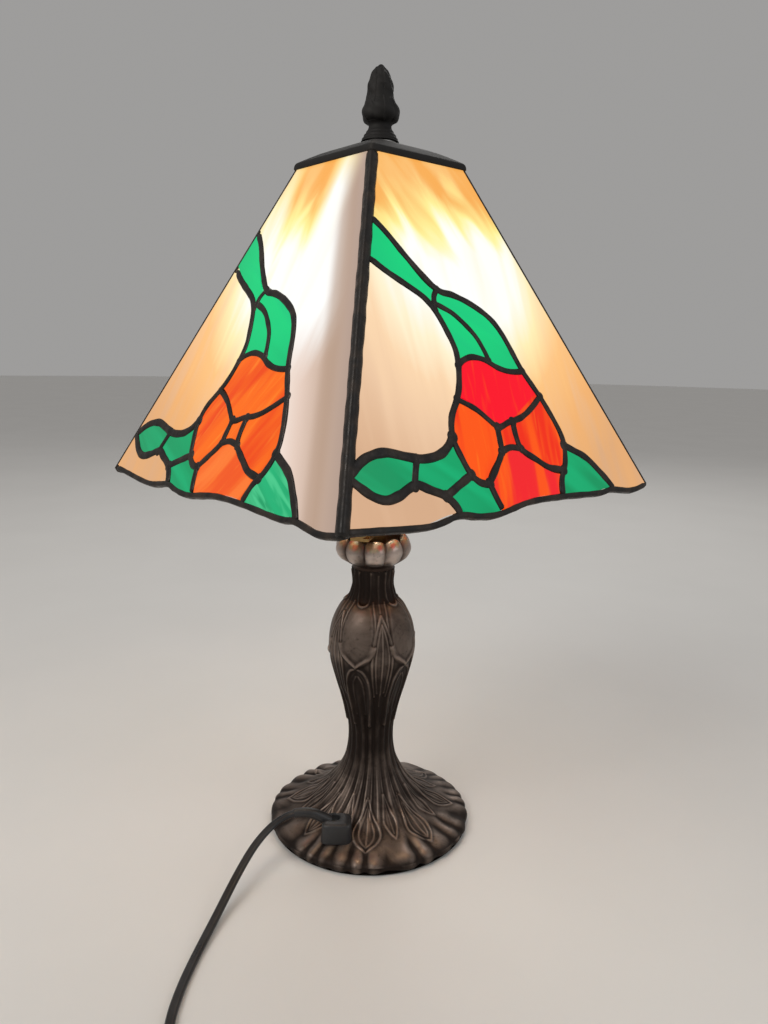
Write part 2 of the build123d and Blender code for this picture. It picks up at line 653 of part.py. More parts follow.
# ---- assembly -------------------------------------------------------------------------------
def base_and_stem():
    foot = cast_base()
    nodes["cast_base"] = [foot]
    nodes["felt_pad"] = [tube(69.5, 0, 0, FELT)]
    nodes["bottom_plate"] = [tube(66.0, 0, FELT, FELT + PLATE)]
    nodes["threaded_rod"] = [threaded_rod()]
    nodes["rod_nut"] = [rod_nut()]
    nodes["rod_washer"] = [tube(13.5, ROD_HOLE, WEB_Z - 2, WEB_Z)]
    nodes["lotus_collar"] = [lotus_collar()]
    nodes["spacer_tube"] = [tube(8.5, ROD_HOLE, 194.5, HOLDER_Z - 2)]
    nodes["cord_outlet_block"] = [outlet_block(foot)]
    nodes["cord_sleeve"] = [cord_sleeve()]
    nodes["inner_lead"] = [inner_lead()]


def light():
    nodes["lampholder_cap"] = [lampholder_cap()]
    nodes["lampholder_shell"] = [lampholder_shell()]
    nodes["lampholder_insulator"] = [lampholder_insulator()]
    nodes["centre_contact"] = [centre_contact()]
    nodes["screw_shell"] = [screw_shell()]
    nodes["bulb_contact"] = [bulb_contact()]
    nodes["bulb_cap"] = [bulb_cap()]
    nodes["bulb_glass"] = [bulb_glass()]
    nodes["bulb_mount"] = [bulb_mount()]


def harp_and_top():
    loop = harp_loop()
    nodes["harp_loop"] = [loop]
    nodes["harp_saddle"] = [harp_saddle()]
    nodes["harp_sleeves"] = harp_sleeves(loop)
    nodes["harp_stud"] = [harp_stud(loop)]
    nodes["shade_seat_washer"] = [tube(9, STUD_RADIUS + 0.25, HARP_SEAT_Z + 0.1, HARP_SEAT_Z + 1.1)]
    nodes["roof_cap"] = [roof_cap()]
    nodes["top_rim"] = [top_rim()]
    nodes["finial_washer"] = [tube(10.5, STUD_RADIUS + 0.25, 462.1, 463.1)]
    nodes["finial"] = [finial()]


def shade_glass_and_seams():
    glass_shade()
    broad = corner_seam(WIDE_SEAM, PROUD)
    fine = corner_seam(NARROW_SEAM, 0.5)
    nodes["corner_seams_broad"] = [broad, Rot(0, 0, 180) * broad]
    nodes["corner_seams_fine"] = [Rot(0, 0, 90) * fine, Rot(0, 0, 270) * fine]


def cord_and_plug():
    cord = cord_piece("cord to switch", CORD_ROUTE)
    nodes["power_cord"] = [cord - nodes["cord_sleeve"][0]]
    coil = cord_coil()
    nodes["cord_coil"] = [coil]
    nodes["power_cord_to_coil"] = [largest(cord_piece("cord to coil", TO_COIL_ROUTE) - coil)]
    nodes["cable_tie"] = [cable_tie()]
    place = frame_at(SWITCH_ENTRY, CORD_TURN)
    lower, upper = switch_shells()
    nodes["switch_lower_shell"] = [place * lower]
    nodes["switch_upper_shell"] = [place * upper]
    nodes["switch_rocker"] = [place * switch_rocker()]
    nodes["switch_pivot"] = [place * rocker_bar(PIVOT_RADIUS, 2 * PIVOT_REACH - 0.4)]
    nodes["switch_screws"] = [place * screw for screw in switch_screws()]
    plug = frame_at(TO_PLUG_ROUTE[-1], CORD_TURN + 180)
    body = plug * plug_body()
    nodes["plug_body"] = [body]
    nodes["power_cord_tail"] = [largest(cord_piece("cord to plug", TO_PLUG_ROUTE) - coil - body)]
    nodes["plug_pins"] = [plug * pin for pin in plug_pins()]


base_and_stem()
light()
harp_and_top()
shade_glass_and_seams()
cord_and_plug()
for name, solids in nodes.items():
    children = [s if isinstance(s, Solid) else s.solids()[0] for s in solids]
    export_step(Compound(children=children), f"parts/{name}.step")
print(len(nodes), "nodes")
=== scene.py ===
import json
import math

import bpy
import numpy as np
from mathutils import Matrix, Vector


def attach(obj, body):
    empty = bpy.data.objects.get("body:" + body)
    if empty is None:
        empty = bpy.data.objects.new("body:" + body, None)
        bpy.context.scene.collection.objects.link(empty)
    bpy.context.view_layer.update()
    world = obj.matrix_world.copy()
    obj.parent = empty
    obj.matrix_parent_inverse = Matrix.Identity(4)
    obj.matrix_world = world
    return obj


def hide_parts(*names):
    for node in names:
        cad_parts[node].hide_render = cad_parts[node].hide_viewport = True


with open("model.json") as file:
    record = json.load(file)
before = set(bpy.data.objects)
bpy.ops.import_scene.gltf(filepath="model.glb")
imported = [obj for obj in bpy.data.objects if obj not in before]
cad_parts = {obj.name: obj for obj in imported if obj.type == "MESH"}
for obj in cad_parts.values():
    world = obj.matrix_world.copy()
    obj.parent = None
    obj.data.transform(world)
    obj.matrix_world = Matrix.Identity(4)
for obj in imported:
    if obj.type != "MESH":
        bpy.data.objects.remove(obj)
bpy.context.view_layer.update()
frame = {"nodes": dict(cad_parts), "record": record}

# A lit table lamp: leaded glass shade, cast bronze base, harp, finial, flat cord with switch and plug.
# The frame is in metres; shapes below are drawn in millimetres and scaled by MM when they are made.
MM = 0.001
AWAY = -40.3  # direction from the lamp towards the camera, degrees about Z
TOWARD = Vector((math.cos(math.radians(AWAY)), math.sin(math.radians(AWAY)), 0))
ACROSS = Vector((-TOWARD.y, TOWARD.x, 0))

# ---- shade, as in the CAD ---------------------------------------------------------------------
SHADE_HALF, SHADE_TOP_HALF = 127.0, 37.3
SHADE_BOTTOM_Z, SHADE_TOP_Z = 254.1, 447.5
GLASS, PROUD = 3.0, 0.8
WIDE_SEAM, NARROW_SEAM = 4.4, 1.0
BORDER = 3.4
SLANT = math.hypot(SHADE_TOP_Z - SHADE_BOTTOM_Z, SHADE_HALF - SHADE_TOP_HALF)
LEAN = math.atan2(SHADE_HALF - SHADE_TOP_HALF, SHADE_TOP_Z - SHADE_BOTTOM_Z)
TURNS = {"right": 0, "back": 90, "left": 180, "front": 270}

BOTTOM_EDGE = [
    (-130, -1), (-110, -2.5), (-72, -5.3), (-49, -2.3), (-35, -4.5), (-19, -5.2), (8, -1.4), (36, -1.3),
    (75, -3.1), (89, -2.1), (110, -4.8), (130, -2),
]

# each solder line of a panel: its width and the points that its middle runs through, u to the right, v up
SOLDER_LINES = [
    (4.4, [(-60, 175), (-47, 163.5), (-33, 145), (-18, 129), (-6, 126), (7, 121), (20, 112.5),
           (27.5, 101), (35, 80), (45, 61.6), (53, 41), (53.5, 31), (49.5, 20), (43, 12), (38.5, 1)]),
    (4.4, [(-72, 154), (-57, 140), (-39, 129), (-29.5, 122.6), (-23.5, 114), (-19, 101.5), (-17, 92),
           (-18.5, 82), (-22, 71.6), (-27, 63), (-35.5, 52), (-38.5, 40.5), (-36, 29), (-32.5, 20),
           (-27, 15), (-20, 13.8)]),
    (5.0, [(53.6, 31), (61, 27.4), (71.6, 21.6), (80, 13), (87, 4.7), (90, 0)]),
    (5.2, [(-38.6, 42), (-45, 36), (-53.3, 32.4), (-66, 31.6), (-79, 34.6), (-88, 36.6), (-98, 35.6),
           (-106.4, 32), (-116, 25)]),
    (5.2, [(-116, 27), (-108, 19.5), (-102, 15), (-95, 12.7), (-85.6, 14.3), (-79, 17), (-73, 18.4),
           (-66, 15.4), (-56, 10.8), (-50.5, 5), (-48.5, 0)]),
    (3.6, [(-17.8, 128.9), (-22, 124), (-24, 116)]),
    (3.6, [(-22.8, 120), (-11, 114.6), (-3, 107.6), (3, 100.4), (6.5, 92), (8, 86)]),
    (4.2, [(-68.6, 31.8), (-71.7, 25), (-75, 17.6)]),
    (4.8, [(-55, 10.4), (-44, 15.2), (-32.5, 20)]),
    (3.8, [(-18.5, 82.5), (-13, 86), (-5, 87.9), (4.6, 86.2), (14, 81.4), (24.5, 78.9), (35.5, 79)]),
    (3.8, [(-27, 63), (-14.6, 56.8), (-6.5, 50), (0, 45.4), (10, 48), (21.4, 50.2), (33, 55.5),
           (45, 63)]),
    (4.4, [(-1, 45.4), (-2.3, 37.5), (-3.6, 31), (-9.5, 24.3), (-20, 14.2)]),
    (4.4, [(13, 48), (12.3, 38.5), (14, 31.4), (24, 24.3), (33.5, 18.6), (46.5, 16)]),
    (4.0, [(-3.6, 31), (5, 33), (14, 31.4)]),
    (4.6, [(-20.4, 14), (-18.2, 5), (-16, -1)]),
]

# ---- turned outlines, (radius, height) --------------------------------------------------------
BASE_OUTLINE = [
    (70.6, 1.2), (72, 3.6), (71.2, 6.6), (68, 8.6), (60, 11), (50, 14.4), (40, 19.6), (31, 27),
    (24, 35.5), (19.4, 44.5), (16.6, 54), (15.4, 64), (15.9, 76), (18.9, 91.4), (24.6, 110.5),
    (28.5, 126), (29.5, 137), (27.6, 150), (22.6, 161.5), (16.4, 169.5), (13.8, 179), (14.6, 190),
]
COLLAR_OUTLINE = [
    (14.4, 190), (14.7, 192.2), (18.2, 194.4), (23.6, 197.8), (26, 202.6), (25.9, 206.6), (24, 210.6),
    (21.4, 212.8), (19.4, 212.2), (19.2, 209), (20.4, 204), (19.6, 199), (15.4, 195), (8.6, 194.6),
]
FINIAL_OUTLINE = [
    (4, 463.2), (11.4, 463.2), (11.5, 464.6), (10.2, 467.2), (8.4, 470), (7.4, 472.6), (8.4, 474.6),
    (10.6, 477.4), (11.2, 480.6), (10.4, 484.4), (8.6, 487.6), (7.9, 490.4), (7.9, 493.6), (7.3, 497.4),
    (5.8, 501.6), (3.6, 505.4), (1.6, 508), (0.1, 508.6),
]

# ---- cord, as in the CAD, in metres -----------------------------------------------------------
CORD_WIDTH = 0.0054
CORD_THICKNESS = 0.0037
CORD_ROUTE = [
    (0.0153, -0.0484, 0.0222), (0.0122, -0.0538, 0.0268), (0.0080, -0.0605, 0.0302),
    (0.0030, -0.0688, 0.0306), (0.0000, -0.0780, 0.0282), (-0.0002, -0.0883, 0.0240),
    (0.0034, -0.1012, 0.0190), (0.0109, -0.1155, 0.0134), (0.0211, -0.1313, 0.0084),
    (0.0331, -0.1481, 0.0046), (0.0470, -0.1657, 0.0029), (0.0633, -0.1835, 0.0029),
    (0.0813, -0.1994, 0.0029), (0.1009, -0.2088, 0.0029), (0.1186, -0.2081, 0.0032),
    (0.1337, -0.1999, 0.0054), (0.1446, -0.1882, 0.0076),
]
TO_COIL_ROUTE = [
    (0.1834, -0.1424, 0.0076), (0.1937, -0.1303, 0.0062), (0.2040, -0.1180, 0.0044),
    (0.2182, -0.1013, 0.0037),
]
TO_PLUG_ROUTE = [
    (0.2801, -0.1536, 0.0091), (0.2680, -0.1657, 0.0090), (0.2535, -0.1743, 0.0082),
    (0.2397, -0.1836, 0.0072), (0.2296, -0.1947, 0.0070),
]
COIL_CENTRE = (0.2492, -0.1274)
COIL_OUTER_TURN, COIL_INNER_TURN = 0.04045, 0.0229
COIL_LAYERS = (0.0037, 0.0091)
COIL_TURNS = 6.5
POINTS_PER_TURN = 24
BLOCK_CENTRE = Vector((20.6, -46.2, 0))  # the outlet block on the foot, in millimetres


# ---- small helpers ----------------------------------------------------------------------------
def smooth_line(points, per_run):
    """Points on a smooth curve that passes through the given points."""
    given = np.array(points, float)
    given = np.vstack([2 * given[0] - given[1], given, 2 * given[-1] - given[-2]])
    line = []
    for a, b, c, d in zip(given, given[1:], given[2:], given[3:]):
        for t in np.arange(per_run) / per_run:
            squared = (2 * a - 5 * b + 4 * c - d) * t**2
            cubed = (3 * b - a - 3 * c + d) * t**3
            line.append(0.5 * (2 * b + (c - a) * t + squared + cubed))
    line.append(given[-2])
    return np.array(line)


def along_of(line):
    """How far along a line each of its points is."""
    return np.concatenate([[0], np.cumsum(np.linalg.norm(np.diff(line, axis=0), axis=1))])


def evenly(line, count):
    """The same line with its points evenly spaced."""
    along = along_of(line)
    wanted = np.linspace(0, along[-1], count)
    return np.stack([np.interp(wanted, along, line[:, k]) for k in range(line.shape[1])], 1)


def soft_step(x, low, high):
    t = np.clip((x - low) / (high - low), 0, 1)
    return t * t * (3 - 2 * t)


def grid_faces(rows, columns, wrap=True):
    """Faces of a grid of points, row by row; wrap joins the last column to the first."""
    faces = []
    for i in range(rows - 1):
        for j in range(columns if wrap else columns - 1):
            k = (j + 1) % columns
            faces.append((i * columns + j, i * columns + k, (i + 1) * columns + k, (i + 1) * columns + j))
    return faces


def tube_faces(rows, columns):
    """Faces of a closed tube: its side and both of its ends."""
    faces = grid_faces(rows, columns)
    faces.append(tuple(range(columns))[::-1])
    faces.append(tuple((rows - 1) * columns + i for i in range(columns)))
    return faces


def store_wear_and_shade(made, wear_and_shade):
    """Stores how rubbed the metal is at each point, and the painted shade where a piece darkens it, for the
    bronze material.
    """
    rubbed_and_shaded = made.data.attributes.new("wear_and_shade", "FLOAT", "POINT")
    rubbed_and_shaded.data.foreach_set("value", np.array(wear_and_shade, np.float32))


def piece(name, points, faces, material, body, stands_for=(), unit=MM):
    """A mesh piece that rides on a CAD body."""
    mesh = bpy.data.meshes.new(name)
    mesh.from_pydata((np.asarray(points, float) * unit).tolist(), [], faces)
    mesh.validate()
    mesh.materials.append(material)
    mesh.shade_smooth()
    made = bpy.data.objects.new(name, mesh)
    bpy.context.scene.collection.objects.link(made)
    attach(made, body)
    if stands_for:
        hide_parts(*stands_for)
    return made


def rotated(points, degrees):
    turn = math.radians(degrees)
    x, y, z = np.asarray(points, float).T
    return np.stack([x * math.cos(turn) - y * math.sin(turn), x * math.sin(turn) + y * math.cos(turn), z], 1)


# ---- material nodes ---------------------------------------------------------------------------
class Paint:
    """A material with short ways to add the nodes that make it."""

    def __init__(self, name, roughness=0.5, metallic=0.0):
        self.material = bpy.data.materials.new(name)
        self.material.use_nodes = True
        self.tree = self.material.node_tree
        self.shader = self.tree.nodes["Principled BSDF"]
        self.shader.inputs["Roughness"].default_value = roughness
        self.shader.inputs["Metallic"].default_value = metallic

    def node(self, kind, inputs=None, **settings):
        made = self.tree.nodes.new(kind)
        for key, value in settings.items():
            setattr(made, key, value)
        for key, value in (inputs or {}).items():
            self.feed(made.inputs[key], value)
        return made

    def feed(self, socket, value):
        if isinstance(value, bpy.types.NodeSocket):
            self.tree.links.new(value, socket)
        else:
            socket.default_value = value

    def set(self, **inputs):
        for key, value in inputs.items():
            self.feed(self.shader.inputs[key.replace("_", " ")], value)

    def coords(self, scale=(1, 1, 1), turn=0.0):
        """Object coordinates, in metres, turned about Z and then scaled."""
        source = self.node("ShaderNodeTexCoord").outputs["Object"]
        if turn:
            source = self.node("ShaderNodeVectorRotate", {"Vector": source, "Angle": turn}).outputs["Vector"]
        return self.node("ShaderNodeMapping", {"Vector": source, "Scale": scale}).outputs["Vector"]

    def times(self, a, b):
        return self.maths("MULTIPLY", a, b)

    def plus(self, a, b):
        return self.maths("ADD", a, b)

    def minus(self, a, b):
        return self.maths("SUBTRACT", a, b)

    def absolute(self, a):
        return self.maths("ABSOLUTE", a)

    def rotated(self, vector, angle, axis):
        """Coordinates turned about one axis, "Y_AXIS" or "Z_AXIS"."""
        turn = {"Vector": vector, "Angle": angle}
        return self.node("ShaderNodeVectorRotate", turn, rotation_type=axis).outputs["Vector"]

    def noise(self, vector, scale, detail=3.0, distortion=0.0, rough=0.5):
        return self.node(
            "ShaderNodeTexNoise",
            {"Vector": vector, "Scale": scale, "Detail": detail, "Distortion": distortion,
             "Roughness": rough},
        ).outputs["Fac"]

    def spread(self, value, low, high, to_low=0.0, to_high=1.0):
        """A value moved from one range to another with soft ends."""
        return self.node(
            "ShaderNodeMapRange",
            {"Value": value, "From Min": low, "From Max": high, "To Min": to_low, "To Max": to_high},
            interpolation_type="SMOOTHSTEP",
        ).outputs["Result"]

    def maths(self, operation, a, b=0.0):
        made = self.node("ShaderNodeMath", operation=operation)
        self.feed(made.inputs[0], a)
        self.feed(made.inputs[1], b)
        return made.outputs[0]

    def mix(self, factor, a, b):
        made = self.node("ShaderNodeMix", data_type="RGBA")
        self.feed(made.inputs["Factor"], factor)
        self.feed(made.inputs["A"], a if isinstance(a, bpy.types.NodeSocket) else (*a, 1))
        self.feed(made.inputs["B"], b if isinstance(b, bpy.types.NodeSocket) else (*b, 1))
        return made.outputs["Result"]

    def ramp(self, value, stops):
        """A colour that follows a value through the given stops."""
        made = self.node("ShaderNodeValToRGB", {"Fac": value})
        marks = made.color_ramp.elements
        while len(marks) < len(stops):
            marks.new(1.0)
        for mark, (position, colour) in zip(marks, stops):
            mark.position = position
            mark.color = (*colour, 1)
        return made.outputs["Color"]

    def scaled(self, colour, factor):
        made = self.node("ShaderNodeVectorMath", operation="SCALE")
        self.feed(made.inputs[0], colour)
        self.feed(made.inputs["Scale"], factor)
        return made.outputs[0]

    def bump(self, height, strength, distance):
        made = self.node("ShaderNodeBump", {"Height": height, "Strength": strength, "Distance": distance})
        self.tree.links.new(made.outputs["Normal"], self.shader.inputs["Normal"])


# ---- materials --------------------------------------------------------------------------------
def bronze(name, dark, worn, roughness=0.40, metallic=0.8):
    """Dark patina in the hollows, rubbed lighter metal on the high spots; on some pieces the stored wear also
    carries painted shade.
    """
    p = Paint(name, metallic=metallic)
    at = p.coords()
    wear_and_shade = p.node("ShaderNodeAttribute", attribute_name="wear_and_shade").outputs["Fac"]
    blotch = p.noise(at, 48, 5, 0.6, 0.6)
    speck = p.noise(at, 380, 3)
    uneven = p.times(p.minus(blotch, 0.5), 0.8)
    rubbed_and_shaded = p.spread(p.plus(wear_and_shade, uneven), 0.15, 1.0)
    colour = p.mix(rubbed_and_shaded, dark, worn)
    colour = p.mix(p.spread(speck, 0.56, 0.76, 0, 0.4), colour, tuple(0.45 * c for c in dark))
    p.set(Base_Color=colour, Roughness=p.spread(rubbed_and_shaded, 0.0, 1.0, roughness + 0.16, roughness - 0.04))
    p.bump(p.plus(p.times(blotch, 0.6), p.times(speck, 0.4)), 0.30, 0.0007)
    return p.material


def solder():
    """Soft solder under a black patina: uneven, slightly brown, with a dull sheen."""
    p = Paint("black_solder", metallic=0.35)
    at = p.coords()
    blotch = p.noise(at, 90, 4, 0.4)
    ripple = p.noise(at, 260, 2)
    p.set(Base_Color=p.mix(p.spread(blotch, 0.35, 0.75), (0.010, 0.008, 0.007), (0.040, 0.027, 0.019)))
    p.set(Roughness=p.spread(ripple, 0.3, 0.7, 0.34, 0.58))
    p.bump(ripple, 0.3, 0.0005)
    return p.material


def plain_metal(name, colour, roughness, tarnish):
    """Plated or turned metal with fine marks and a little tarnish."""
    p = Paint(name, metallic=1.0)
    marks = p.noise(p.coords((1, 1, 14)), 90, 4)
    stain = p.noise(p.coords(), 40, 4, 0.5)
    p.set(Base_Color=p.mix(p.spread(stain, 0.45, 0.75), colour, tarnish))
    p.set(Roughness=p.spread(marks, 0.3, 0.7, roughness - 0.06, roughness + 0.12))
    p.bump(marks, 0.12, 0.0003)
    return p.material


def plastic(name, colour, roughness, grain):
    """Moulded plastic or rubber with a fine grain and faint smudges."""
    p = Paint(name)
    at = p.coords()
    smudge = p.noise(at, 35, 4)
    pale = tuple(min(1.0, 1.7 * c + 0.006) for c in colour)
    p.set(Base_Color=p.mix(p.spread(smudge, 0.4, 0.75), colour, pale))
    p.set(Roughness=p.spread(smudge, 0.3, 0.7, roughness - 0.05, roughness + 0.1))
    p.bump(p.noise(at, grain, 2), 0.12, 0.0003)
    return p.material


def felt():
    p = Paint("felt", roughness=0.95)
    fibre = p.noise(p.coords(), 900, 4, 1.5)
    p.set(Base_Color=p.mix(fibre, (0.012, 0.016, 0.012), (0.05, 0.06, 0.048)), Sheen_Weight=0.3)
    p.bump(fibre, 0.5, 0.0006)
    return p.material


def bulb_glow():
    """Frosted glass, lit from inside and a little dimmer towards its neck."""
    p = Paint("bulb_frosted_glass", roughness=0.35)
    height = p.node("ShaderNodeSeparateXYZ", {"Vector": p.coords()}).outputs["Z"]
    lit = p.spread(height, 0.295, 0.345)
    p.set(Base_Color=(0.9, 0.88, 0.84, 1), Emission_Color=p.mix(lit, (0.9, 0.42, 0.12), (1.0, 0.84, 0.64)))
    p.set(Emission_Strength=BULB_GLOW)
    return p.material


BULB_GLOW = 16.0


def glass_paint(kind, side):
    """Opalescent glass of one panel, with painted glow: it emits its colour, brightest where the bulb is
    nearest, in place of the bulb's light shining through.

    Its colours are set out in the panel's own plane: u to the right, v up the slope, in metres.
    """
    p = Paint(f"{kind}_glass_{side}", roughness=0.24)
    like = "right" if side in ("right", "left") else "front"
    at = p.coords(turn=-math.radians(TURNS[side]))
    flat = p.rotated(at, LEAN, "Y_AXIS")
    axes = p.node("ShaderNodeSeparateXYZ", {"Vector": flat}).outputs
    u = axes["Y"]
    v = p.minus(axes["Z"], PANEL_FOOT)
    place = p.node("ShaderNodeCombineXYZ", {"X": u, "Y": v}).outputs["Vector"]
    away = p.node("ShaderNodeVectorMath", operation="DISTANCE")
    p.feed(away.inputs[0], place)
    away.inputs[1].default_value = HOT_SPOT[like]
    slant = STREAK_SLANT[kind, like]
    turned = p.rotated(place, slant, "Z_AXIS")
    drawn = p.node("ShaderNodeMapping", {"Vector": turned, "Scale": (1.0, 0.12, 1.0)}).outputs["Vector"]
    streak = p.noise(drawn, 75, 2, 0.35, 0.45)
    wisp = p.noise(drawn, 210, 2, 0.6, 0.5)
    span = {"Value": away.outputs["Value"], "From Min": GLOW_EDGE, "From Max": GLOW_FULL}
    near = p.node("ShaderNodeMapRange", span)
    near = p.plus(near.outputs["Result"], p.times(p.minus(streak, 0.5), 0.35))
    if kind == "cream":
        tint = cream_tint(p, like, u, v, streak, near)
    elif kind == "leaf":
        tint = leaf_tint(p, like, u, v, streak, wisp, near)
    else:
        tint = petal_tint(p, like, u, v, streak, wisp)
    # painted glow: the panel emits its colour, standing in for the bulb's light shining through, and its base
    # colour is kept dark
    p.set(Base_Color=p.scaled(tint, 0.08), Emission_Color=tint, Emission_Strength=0.97)
    p.set(Specular_IOR_Level=0.28)
    p.bump(p.noise(at, 40, 2, 0.4), 0.10, 0.002)
    return p.material


# how far the panel's own frame is from its bottom edge, and the spot nearest the bulb
PANEL_FOOT = (SHADE_BOTTOM_Z * math.cos(LEAN) - SHADE_HALF * math.sin(LEAN)) * MM
PANEL_TAPER = 0.4207  # how much a panel's half width shrinks for each unit up its slope
HOT_SPOT = {"right": (0.005, 0.148, 0), "front": (0.008, 0.148, 0)}
GLOW_EDGE, GLOW_FULL = 0.155, 0.045  # distances from that spot where the glow ends and where it is full
STREAK_SLANT = {
    ("cream", "right"): 0.05, ("cream", "front"): 0.10, ("leaf", "right"): -0.9, ("leaf", "front"): -1.1,
    ("petal", "right"): 0.15, ("petal", "front"): 0.65,
}

# glass colours with painted glow, from a panel's darkest part to the spot nearest the bulb; the seam's ramp
# is painted shade, from the broad seam outwards
CREAM_GLOW = [
    (0.0, (0.66, 0.40, 0.24)), (0.35, (0.83, 0.56, 0.36)), (0.62, (0.95, 0.67, 0.42)),
    (0.82, (1.0, 0.88, 0.62)), (1.0, (1.0, 1.0, 0.97)),
]
PEACH_GLOW = [
    (0.0, (0.74, 0.39, 0.17)), (0.35, (0.87, 0.44, 0.16)), (0.62, (0.97, 0.54, 0.21)),
    (0.82, (1.0, 0.85, 0.45)), (1.0, (1.0, 1.0, 0.95)),
]
SEAM_SHADE = [
    (0.0, (0.42, 0.31, 0.26)), (0.35, (0.53, 0.38, 0.29)), (0.7, (0.76, 0.59, 0.50)),
    (1.0, (0.90, 0.77, 0.69)),
]
EMERALD_GLOW = [
    (0.0, (0.0, 0.29, 0.105)), (0.5, (0.001, 0.43, 0.155)), (1.0, (0.002, 0.63, 0.20)),
]


def cream_tint(p, like, u, v, streak, near):
    """Creamy glass, peach on one side of the flower and amber under the cap, with painted glow brightest near
    the bulb.
    """
    past = p.spread(p.plus(u, p.times(streak, 0.02)), 0.02, 0.055)
    if like == "front":
        past = p.minus(1.0, past)
    peach = p.times(past, p.spread(streak, 0.30, 0.62, 0.55, 1.0))
    tint = p.mix(peach, p.ramp(near, CREAM_GLOW), p.ramp(near, PEACH_GLOW))
    if like == "front":
        tint = shaded_by_seam(p, tint, u, v, near)
    cloud = amber_cloud(p, u, v, like)
    climb = p.plus(v, p.times(p.minus(cloud, 0.5), 0.075))
    climb = p.minus(climb, p.times(u, 0.12))
    patch = 1.0 if like == "right" else p.minus(1.0, p.spread(p.absolute(p.plus(u, 0.010)), 0.012, 0.026))
    yellow = p.times(p.spread(climb, 0.150, 0.178, 0, 0.9), patch)
    amber = p.times(p.spread(climb, 0.168, 0.200), patch)
    tint = p.mix(yellow, tint, (1.0, 0.90, 0.26))
    return p.mix(amber, tint, p.mix(p.spread(cloud, 0.35, 0.65), (0.96, 0.54, 0.18), (0.93, 0.42, 0.09)))


def amber_cloud(p, u, v, like):
    """Broad soft clouds that run down and across the panel."""
    place = p.node("ShaderNodeCombineXYZ", {"X": u, "Y": v}).outputs["Vector"]
    slant = -0.42 if like == "right" else 0.15
    place = p.rotated(place, slant, "Z_AXIS")
    drawn = p.node("ShaderNodeMapping", {"Vector": place, "Scale": (1.0, 0.28, 1.0)}).outputs["Vector"]
    return p.noise(drawn, 55, 3, 0.5, 0.45)


def shaded_by_seam(p, tint, u, v, near):
    """Painted shade: the glass darkens to grey towards the broad seam, is painted lit white where the bulb is
    near, and is crossed by a painted shadow of the harp.
    """
    margin = p.minus(p.minus(SHADE_HALF * MM, p.times(v, PANEL_TAPER)), u)
    seam_shaded_glass = p.ramp(p.times(margin, 1 / 0.062), SEAM_SHADE)
    lit = p.times(p.spread(near, 0.62, 1.0), p.spread(margin, 0.010, 0.034))
    seam_shaded_glass = p.mix(lit, seam_shaded_glass, (1.0, 1.0, 0.98))
    band = p.minus(p.plus(u, p.times(v, 0.381)), 0.1026)
    shadow = p.spread(p.absolute(band), 0.002, 0.011, 0.45, 0.0)
    seam_shaded_glass = p.mix(shadow, seam_shaded_glass, (0.42, 0.28, 0.20))
    return p.mix(p.spread(u, 0.014, 0.036), tint, seam_shaded_glass)


def leaf_tint(p, like, u, v, streak, wisp, near):
    """Emerald glass, darker away from the bulb; one leaf of two panels is wavy and paler."""
    tint = p.ramp(near, EMERALD_GLOW)
    tint = p.mix(p.spread(streak, 0.45, 0.75, 0, 0.5), tint, (0.003, 0.50, 0.20))
    if like == "front":
        pale = p.times(p.spread(u, 0.036, 0.044), p.spread(v, 0.050, 0.042))
        pale = p.times(pale, p.spread(wisp, 0.42, 0.66, 0.15, 0.85))
        tint = p.mix(pale, tint, (0.07, 0.60, 0.27))
    return tint


def petal_tint(p, like, u, v, streak, wisp):
    """Orange glass with red and yellow streaks; the upper petal of two panels is crimson."""
    low = p.spread(p.plus(v, p.times(p.absolute(p.minus(u, 0.008)), 0.6)), 0.034, 0.032)
    if like == "front":
        tint = p.mix(p.spread(streak, 0.36, 0.64), (0.84, 0.065, 0.001), (0.95, 0.150, 0.003))
        tint = p.mix(p.spread(wisp, 0.52, 0.74, 0, 0.45), tint, (1.0, 0.27, 0.02))
        return p.mix(p.times(low, p.spread(streak, 0.4, 0.6, 0.2, 0.7)), tint, (0.94, 0.20, 0.035))
    tint = p.mix(p.spread(streak, 0.40, 0.60), (0.86, 0.022, 0.002), (0.97, 0.090, 0.001))
    tint = p.mix(p.spread(wisp, 0.55, 0.75, 0, 0.4), tint, (1.0, 0.19, 0.006))
    tint = p.mix(p.times(low, p.spread(streak, 0.42, 0.6, 0.85, 0.1)), tint, (0.88, 0.012, 0.022))
    rise = p.minus(v, p.times(p.absolute(p.minus(u, 0.005)), 0.55))
    red = p.mix(p.spread(wisp, 0.54, 0.72, 0, 0.55), (0.95, 0.0, 0.016), (0.95, 0.045, 0.004))
    return p.mix(p.spread(rise, 0.0440, 0.0455), tint, red)


def floor_paint():
    p = Paint("pale_floor", roughness=0.55)
    grain = p.noise(p.coords(), 6, 5)
    p.set(Base_Color=p.mix(grain, (0.74, 0.725, 0.70), (0.80, 0.785, 0.76)))
    return p.material


